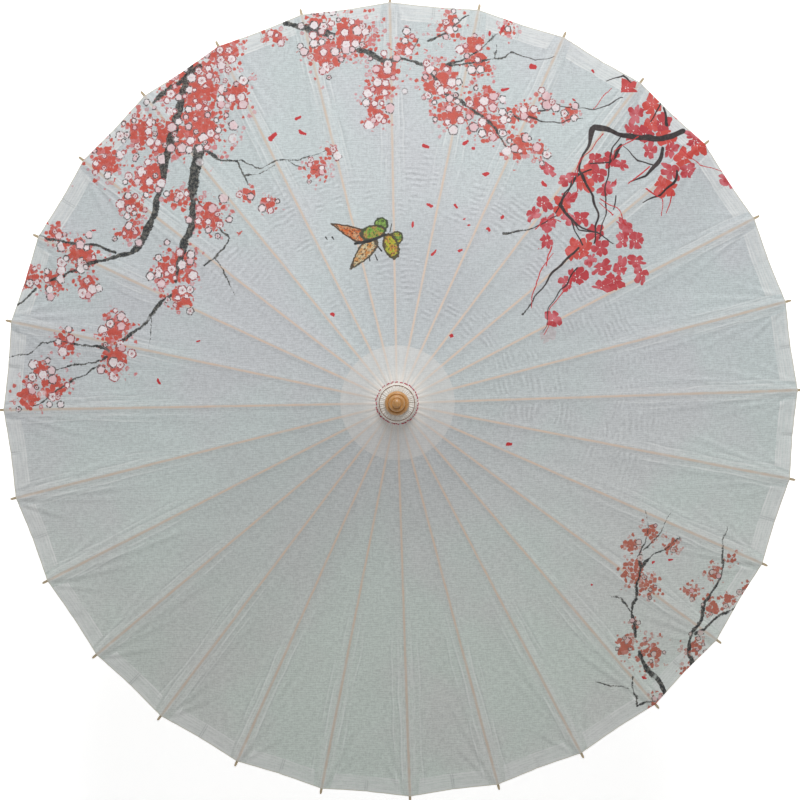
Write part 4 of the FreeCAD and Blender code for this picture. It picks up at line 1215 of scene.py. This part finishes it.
def finished(name, bm, smooth=None):
    """Object at the origin from a mesh in the making"""
    mesh = bpy.data.meshes.new(name)
    bm.to_mesh(mesh)
    bm.free()
    if smooth is not None:
        mesh.shade_smooth()
        if smooth:
            mesh.set_sharp_from_angle(angle=smooth)
    piece = bpy.data.objects.new(name, mesh)
    bpy.context.scene.collection.objects.link(piece)
    return piece


class UMBRELLA_OT_canopy(bpy.types.Operator):
    """Build the painted cloth: a strip along every rib and a panel on each side of it"""
    bl_idname = "umbrella.canopy"
    bl_label = "Canopy"

    def execute(self, context):
        settings = context.scene.umbrella_cloth
        span = CLOTH_END - CLOTH_START

        def s_of(v):
            return CLOTH_START + v * span

        wide = float(half_gore(np.array(CLOTH_END)))
        spots = [np.array(s_of(t / AREA_SPOTS)) for t in range(AREA_SPOTS + 1)]
        area = sum(float(half_gore(s)) - float(strip_half(s)) for s in spots) / len(spots) * span
        for index in range(RIB_COUNT):
            material = cloth_material(index, settings)

            def strip_place(u, v):
                s = s_of(v)
                y = (u * 2 - 1) * strip_half(s)
                return np.where(y >= 0, 1, -1), s, np.abs(y) / half_gore(s)

            strip = cloth_sheet("cloth_strip_" + number(index), index, (STRIP_CELLS, ALONG_CELLS),
                                settings.thickness, strip_place)
            made = [strip]
            for side, word in ((1, "left"), (-1, "right")):
                def panel_place(u, v):
                    s = s_of(v)
                    low = strip_half(s) / half_gore(s)
                    return np.full(len(s), side), s, low + u * (1 - low)

                panel = cloth_sheet("cloth_%s_%s" % (number(index), word), index,
                                    (ACROSS_CELLS, ALONG_CELLS), settings.thickness, panel_place)
                made.append(panel)
            for piece in made:
                piece.data.materials.append(material)
                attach(piece, "rib_" + number(index))
                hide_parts("canopy")
            anchor_r, anchor_z = along_rib(np.array(LINK * 0.5), CLOTH_LIFT)
            out = Vector((math.cos(turn(index)), math.sin(turn(index)), 0))
            sideways = Vector((-out.y, out.x, 0))
            for side, panel in ((1, made[1]), (-1, made[2])):
                anchor = out * float(anchor_r) + Vector((0, 0, float(anchor_z)))
                anchor = anchor + sideways * side * STRIP_HALF
                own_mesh(panel)
        return {"FINISHED"}


# ================================================================ wood, bamboo, thread
def build_grain(name):
    """Long wood or bamboo fibres along one axis: tone, and height for a bump"""
    tree, g, start, end = new_group(name, [
        ("v", "Point"), ("v", "Squeeze"), ("c", "Light"), ("c", "Dark"), ("f", "Strength")],
        [("c", "Colour"), ("f", "Height")])
    point = g.vector("MULTIPLY", start["Point"], start["Squeeze"])
    fine = g.noise(point, 900.0, 4.0, 0.65)
    broad = g.noise(point, 160.0, 3.0, 0.6)
    both = g.scale_add(fine, 0.6, g.times(broad, 0.4))
    tone = g.mix(g.times(g.step(both, 0.38, 0.66), start["Strength"]), start["Light"], start["Dark"])
    g.link(tone, end["Colour"])
    g.link(both, end["Height"])
    return tree


def surface(name):
    """New material: its graph and its Principled node, already joined to the output"""
    material = bpy.data.materials.new(name)
    material.use_nodes = True
    material.node_tree.nodes.clear()
    g = Graph(material.node_tree)
    shader = g.add("ShaderNodeBsdfPrincipled")
    g.add("ShaderNodeOutputMaterial", {"Surface": shader.outputs[0]})
    return material, g, shader


def wood_material(name, light, dark, squeeze, roughness, strength=0.8, coat=0.0):
    """Wood or bamboo with its grain along the squeezed axis"""
    material, g, shader = surface(name)
    point = g.add("ShaderNodeTexCoord").outputs["Object"]
    grain = g.group(shared("Grain", build_grain), {
        "Point": point, "Squeeze": squeeze, "Light": rgba(light), "Dark": rgba(dark),
        "Strength": strength})
    g.link(grain["Colour"], shader.inputs["Base Color"])
    rough = g.scale_add(grain["Height"], 0.25, roughness - 0.12)
    g.link(rough, shader.inputs["Roughness"])
    bump = g.add("ShaderNodeBump", {"Height": grain["Height"], "Distance": 0.0002, "Strength": 0.5})
    g.link(bump.outputs[0], shader.inputs["Normal"])
    shader.inputs["Coat Weight"].default_value = coat
    shader.inputs["Coat Roughness"].default_value = 0.2
    return material


def use(piece, material):
    """Give a piece its only material"""
    piece.data.materials.clear()
    piece.data.materials.append(material)


class UMBRELLA_OT_ribs(bpy.types.Operator):
    """Give the ribs, stretchers, runner and catch their bamboo and wood"""
    bl_idname = "umbrella.ribs"
    bl_label = "Ribs and stretchers"

    def execute(self, context):
        bamboo = tuple(context.scene.umbrella_head.bamboo)
        dark = tuple(c * 0.62 for c in bamboo)
        rib = wood_material("rib_bamboo", bamboo, dark, (1.0, 1.0, 1.0), 0.5)
        stretcher = wood_material("stretcher_bamboo", bamboo, dark, (1.0, 1.0, 1.0), 0.55, 0.6)
        runner = wood_material("runner_wood", *RUNNER_COLOURS, (1.0, 1.0, 0.12), 0.45)
        catch = wood_material("catch_bamboo", bamboo, dark, (1.0, 1.0, 0.08), 0.45)
        woods = {"rib_": rib, "stretcher_": stretcher, "runner": runner, "catch": catch}
        for name, piece in frame["nodes"].items():
            for prefix, material in woods.items():
                if name.startswith(prefix):
                    use(piece, material)
        return {"FINISHED"}


def islands(bm):
    """Connected parts of a mesh, as lists of vertices"""
    bm.verts.ensure_lookup_table()
    seen = set()
    parts = []
    for first in bm.verts:
        if first in seen:
            continue
        seen.add(first)
        part, edge = [first], [first]
        while edge:
            vert = edge.pop()
            for link in vert.link_edges:
                other = link.other_vert(vert)
                if other not in seen:
                    seen.add(other)
                    part.append(other)
                    edge.append(other)
        parts.append(part)
    return parts


def cad_part(name, node, chosen):
    """Copy of those solids of a CAD node whose (low z, high z, radius) is chosen"""
    bm = bmesh.new()
    bm.from_mesh(frame["nodes"][node].data)
    bmesh.ops.remove_doubles(bm, verts=bm.verts, dist=1e-7)
    spare = []
    for part in islands(bm):
        low = min(v.co.z for v in part)
        high = max(v.co.z for v in part)
        radius = max(math.hypot(v.co.x, v.co.y) for v in part)
        if not chosen(low, high, radius):
            spare += part
    bmesh.ops.delete(bm, geom=spare, context="VERTS")
    if not bm.verts:
        raise RuntimeError("no solid of %s fits %s" % (node, name))
    return finished(name, bm, smooth=math.radians(35))


def turned_mesh(profile, steps):
    """Mesh in the making, turned about the shaft from (radius, height) points"""
    bm = bmesh.new()
    verts = [bm.verts.new((radius, 0.0, height)) for radius, height in profile]
    edges = [bm.edges.new(pair) for pair in zip(verts, verts[1:])]
    bmesh.ops.spin(bm, geom=verts + edges, cent=(0, 0, 0), axis=(0, 0, 1), angle=2 * math.pi,
                   steps=steps, use_merge=True, use_duplicate=False)
    bmesh.ops.remove_doubles(bm, verts=bm.verts, dist=1e-6)
    bmesh.ops.recalc_face_normals(bm, faces=bm.faces)
    return bm


def turned_piece(name, profile, smooth=math.radians(40)):
    """Piece turned about the shaft from (radius, height) points"""
    return finished(name, turned_mesh(profile, 96), smooth=smooth)


def rounded(points, height=0.0, cuts=5):
    """Profile raised by height, its corners eased between the middles of its runs"""
    points = [(r, height + z) for r, z in points]
    eased = [points[0]]
    for before, here, after in zip(points, points[1:], points[2:]):
        a = ((before[0] + here[0]) / 2, (before[1] + here[1]) / 2)
        b = ((here[0] + after[0]) / 2, (here[1] + after[1]) / 2)
        for k in range(cuts + 1):
            t = k / cuts
            eased.append(tuple((1 - t) ** 2 * a[i] + 2 * t * (1 - t) * here[i] + t * t * b[i]
                               for i in (0, 1)))
    eased.append(points[-1])
    return eased


class UMBRELLA_OT_shaft(bpy.types.Operator):
    """Build the bamboo rod, the grip, and the slotted top notch with its wire"""
    bl_idname = "umbrella.shaft"
    bl_label = "Shaft and grip"

    def execute(self, context):
        rod_wood = wood_material("rod_bamboo", *ROD_COLOURS, (1.0, 1.0, 0.05), 0.38, coat=0.25)
        grip_wood = wood_material("grip_wood", *GRIP_COLOURS, (1.0, 1.0, 0.10), 0.30, coat=0.5)
        notch_wood = wood_material("notch_wood", *NOTCH_COLOURS, (1.0, 1.0, 0.12), 0.5)
        wire_metal, g, shader = surface("pivot_wire")
        shader.inputs["Metallic"].default_value = 1.0
        shader.inputs["Base Color"].default_value = WIRE_BRASS
        spots = g.noise(g.add("ShaderNodeTexCoord").outputs["Object"], 700.0, 3.0)
        g.link(g.scale_add(spots, 0.3, 0.25), shader.inputs["Roughness"])
        rod = cad_part("shaft_rod", "shaft", lambda low, high, radius: radius < 0.0072)
        notch = cad_part("top_notch", "shaft",
                         lambda low, high, radius: 0.470 < low < 0.480 and radius > 0.018)
        wire = cad_part("notch_wire", "shaft",
                        lambda low, high, radius: high - low < 0.0012 and 0.015 < radius < 0.016)
        grip = turned_piece("hand_grip", rounded(GRIP_PROFILE))
        made = [(rod, rod_wood), (grip, grip_wood), (notch, notch_wood), (wire, wire_metal)]
        for k, height in enumerate(ROD_JOINT_HEIGHTS):
            band = turned_piece("rod_joint_%d" % (k + 1), rounded(ROD_JOINT_PROFILE, height))
            made.append((band, rod_wood))
        for piece, material in made:
            use(piece, material)
            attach(piece, "shaft")
            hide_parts("shaft")
        return {"FINISHED"}


class UMBRELLA_OT_head(bpy.types.Operator):
    """Build the turned finial, the gathered cloth cap and its brown ring"""
    bl_idname = "umbrella.head"
    bl_label = "Finial and cap"

    def execute(self, context):
        settings = context.scene.umbrella_head
        light = tuple(settings.wood)
        dark = tuple(c * 0.5 for c in light)
        finial_wood = wood_material("finial_wood", light, dark, (1.0, 0.25, 1.0), 0.32, coat=0.35)
        finial = turned_piece("finial", rounded(FINIAL_PROFILE, FINIAL_BASE, cuts=3),
                              smooth=math.radians(60))
        cap_bm = turned_mesh(rounded(CAP_PROFILE, FINIAL_BASE, cuts=4), CAP_STEPS)
        rng = np.random.default_rng(7)
        shift = rng.uniform(0, 2 * math.pi, 3)
        for vert in cap_bm.verts:
            radius = math.hypot(vert.co.x, vert.co.y)
            angle = math.atan2(vert.co.y, vert.co.x)
            fold = math.sin(settings.pleats * angle + 1.7 * math.sin(5 * angle + shift[0]))
            fold += 0.6 * math.sin(19 * angle + shift[1]) + 0.4 * math.sin(9 * angle + shift[2])
            top = 1.0 if radius < CAP_FLAT_RADIUS else 0.35
            vert.co.z += CAP_FOLD * fold * top * min(1.0, max(0.0, (radius - 0.0100) / 0.003))
        cap = finished("cap_cloth", cap_bm, smooth=0)
        wall = cap.modifiers.new("thickness", "SOLIDIFY")
        wall.thickness = CAP_WALL
        wall.offset = -1.0
        cloth, g, shader = surface("cap_cloth")
        point = g.add("ShaderNodeTexCoord").outputs["Object"]
        fibre = g.noise(point, 900.0, 3.0, 0.7)
        stain = g.noise(point, 120.0, 3.0, 0.6)
        colour = g.mix(g.step(fibre, 0.35, 0.7), CAP_DARK, CAP_LIGHT)
        colour = g.mix(g.step(stain, 0.45, 0.7, 0.0, 0.35), colour, CAP_STAIN)
        g.link(colour, shader.inputs["Base Color"])
        shader.inputs["Roughness"].default_value = 0.75
        bump = g.add("ShaderNodeBump", {"Height": fibre, "Distance": 0.0002, "Strength": 0.5})
        g.link(bump.outputs[0], shader.inputs["Normal"])
        ring = turned_piece("cap_ring", [
            (RING_RADIUS + RING_WIRE * math.cos(a), FINIAL_BASE - RING_DROP + RING_WIRE * math.sin(a))
            for a in [2 * math.pi * k / 12 for k in range(13)]])
        ring_wood = wood_material("cap_ring", *RING_COLOURS, (1, 1, 1), 0.5)
        for piece, material in ((finial, finial_wood), (cap, cloth), (ring, ring_wood)):
            use(piece, material)
            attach(piece, "shaft")
            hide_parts("shaft")
        return {"FINISHED"}


class UMBRELLA_OT_stitches(bpy.types.Operator):
    """Sew the crimson thread round the head: one stitch over every rib"""
    bl_idname = "umbrella.stitches"
    bl_label = "Head stitches"

    def execute(self, context):
        colour = tuple(context.scene.umbrella_head.thread)
        thread, g, shader = surface("crimson_thread")
        point = g.add("ShaderNodeTexCoord").outputs["Object"]
        twist = g.noise(point, 2200.0, 3.0, 0.7)
        tone = g.mix(twist, rgba(c * 0.55 for c in colour), rgba(colour))
        g.link(tone, shader.inputs["Base Color"])
        shader.inputs["Roughness"].default_value = 0.7
        bump = g.add("ShaderNodeBump", {"Height": twist, "Distance": 0.0001, "Strength": 0.6})
        g.link(bump.outputs[0], shader.inputs["Normal"])
        rng = np.random.default_rng(11)
        for index in range(RIB_COUNT):
            bm = bmesh.new()
            for gap in (-STITCH_GAP, STITCH_GAP):
                new = bmesh.ops.create_uvsphere(bm, u_segments=10, v_segments=8, radius=1.0)["verts"]
                length = STITCH_HALVES[0] * rng.uniform(0.6, 1.3)
                radius = STITCH_RADIUS + rng.uniform(-0.0004, 0.0005)
                angle = turn(index) + gap * PITCH + rng.uniform(-0.03, 0.03)
                centre = Vector((radius * math.cos(angle), radius * math.sin(angle), 0))
                s = (radius - PIVOT_RADIUS - CLOTH_LIFT * RIB_DOWN) / RIB_OUT
                centre.z = float(along_rib(np.array(s), CLOTH_LIFT)[1]) + STITCH_LIFT
                spot = Matrix.Translation(centre) @ Matrix.Rotation(angle + math.pi / 2, 4, "Z")
                spot = spot @ Matrix.Diagonal((length, *STITCH_HALVES[1:], 1))
                bmesh.ops.transform(bm, matrix=spot, verts=new)
            piece = finished("stitch_" + number(index), bm, smooth=0)
            use(piece, thread)
            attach(piece, "rib_" + number(index))
        return {"FINISHED"}


class UMBRELLA_OT_stage(bpy.types.Operator):
    """Lay the floor, set the lamps and point the camera down the shaft"""
    bl_idname = "umbrella.stage"
    bl_label = "Stage"

    def execute(self, context):
        settings = context.scene.umbrella_stage
        bm = bmesh.new()
        bmesh.ops.create_grid(bm, x_segments=1, y_segments=1, size=FLOOR_HALF)
        bmesh.ops.translate(bm, verts=bm.verts, vec=(0, 0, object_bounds()[0][2] - FLOOR_GAP))
        floor = finished("floor", bm)
        paper, g, shader = surface("floor")
        shader.inputs["Base Color"].default_value = rgba(settings.floor)
        shader.inputs["Roughness"].default_value = 0.9
        shader.inputs["Emission Color"].default_value = WHITE
        shader.inputs["Emission Strength"].default_value = FLOOR_GLOW
        use(floor, paper)
        floor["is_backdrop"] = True
        world = bpy.data.worlds.new("studio")
        world.use_nodes = True
        background = world.node_tree.nodes["Background"]
        background.inputs[0].default_value = WHITE
        background.inputs[1].default_value = settings.ambient
        context.scene.world = world
        aim = Vector(AIM)
        lamp = bpy.data.lights.new("key", "AREA")
        lamp.shape = "DISK"
        lamp.size = LAMP_WIDTH
        lamp.energy = settings.key
        key = bpy.data.objects.new("key", lamp)
        key.location = aim + Vector(LAMP_PLACE)
        key.rotation_euler = (aim - key.location).to_track_quat("-Z", "Y").to_euler()
        context.scene.collection.objects.link(key)
        context.scene.view_settings.view_transform = "Standard"
        context.scene.view_settings.look = "None"
        rim = Vector((0, 0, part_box("rib_01")[0][2]))
        camera = bpy.data.cameras.new("camera")
        camera.sensor_width = SENSOR_WIDTH
        camera.lens = SENSOR_WIDTH / 2 * settings.distance / (RIM_RADIUS * RIM_IN_VIEW)
        camera.clip_end = 60
        place = bpy.data.objects.new("camera", camera)
        lean_x, lean_y = (math.sin(CAMERA_LEAN) * part for part in LEAN_TOWARDS)
        back = Vector((lean_x, lean_y, math.cos(CAMERA_LEAN)))
        up = Vector((math.sin(math.radians(CAMERA_ROLL)), math.cos(math.radians(CAMERA_ROLL)), 0))
        right = up.cross(back).normalized()
        up = back.cross(right)
        place.matrix_world = Matrix.Translation(rim + back * settings.distance) @ \
            Matrix((right, up, back)).transposed().to_4x4()
        context.scene.collection.objects.link(place)
        context.scene.camera = place
        return {"FINISHED"}


class UMBRELLA_PT_parts(bpy.types.Panel):
    """Sizes, colours and the steps that build the umbrella"""
    bl_label = "Umbrella"
    bl_idname = "UMBRELLA_PT_parts"
    bl_space_type = "VIEW_3D"
    bl_region_type = "UI"
    bl_category = "Umbrella"

    def draw(self, context):
        scene = context.scene
        for group in (scene.umbrella_cloth, scene.umbrella_head, scene.umbrella_stage):
            box = self.layout.box()
            for name in group.__annotations__:
                box.prop(group, name)
        for operator in OPERATORS:
            self.layout.operator(operator.bl_idname)


GROUPS = (UmbrellaCloth, UmbrellaHead, UmbrellaStage)
OPERATORS = (UMBRELLA_OT_stage, UMBRELLA_OT_canopy, UMBRELLA_OT_ribs, UMBRELLA_OT_shaft,
             UMBRELLA_OT_head, UMBRELLA_OT_stitches)
CLASSES = GROUPS + OPERATORS + (UMBRELLA_PT_parts,)


def register():
    """Add the panel, the steps and their settings"""
    for cls in CLASSES:
        bpy.utils.register_class(cls)
    bpy.types.Scene.umbrella_cloth = bpy.props.PointerProperty(type=UmbrellaCloth)
    bpy.types.Scene.umbrella_head = bpy.props.PointerProperty(type=UmbrellaHead)
    bpy.types.Scene.umbrella_stage = bpy.props.PointerProperty(type=UmbrellaStage)


def unregister():
    """Take them away again"""
    del bpy.types.Scene.umbrella_stage
    del bpy.types.Scene.umbrella_head
    del bpy.types.Scene.umbrella_cloth
    for cls in reversed(CLASSES):
        bpy.utils.unregister_class(cls)


def main():
    register()
    bpy.ops.umbrella.stage()
    bpy.ops.umbrella.canopy()
    bpy.ops.umbrella.ribs()
    bpy.ops.umbrella.shaft()
    bpy.ops.umbrella.head()
    bpy.ops.umbrella.stitches()


if __name__ == "__main__":
    main()
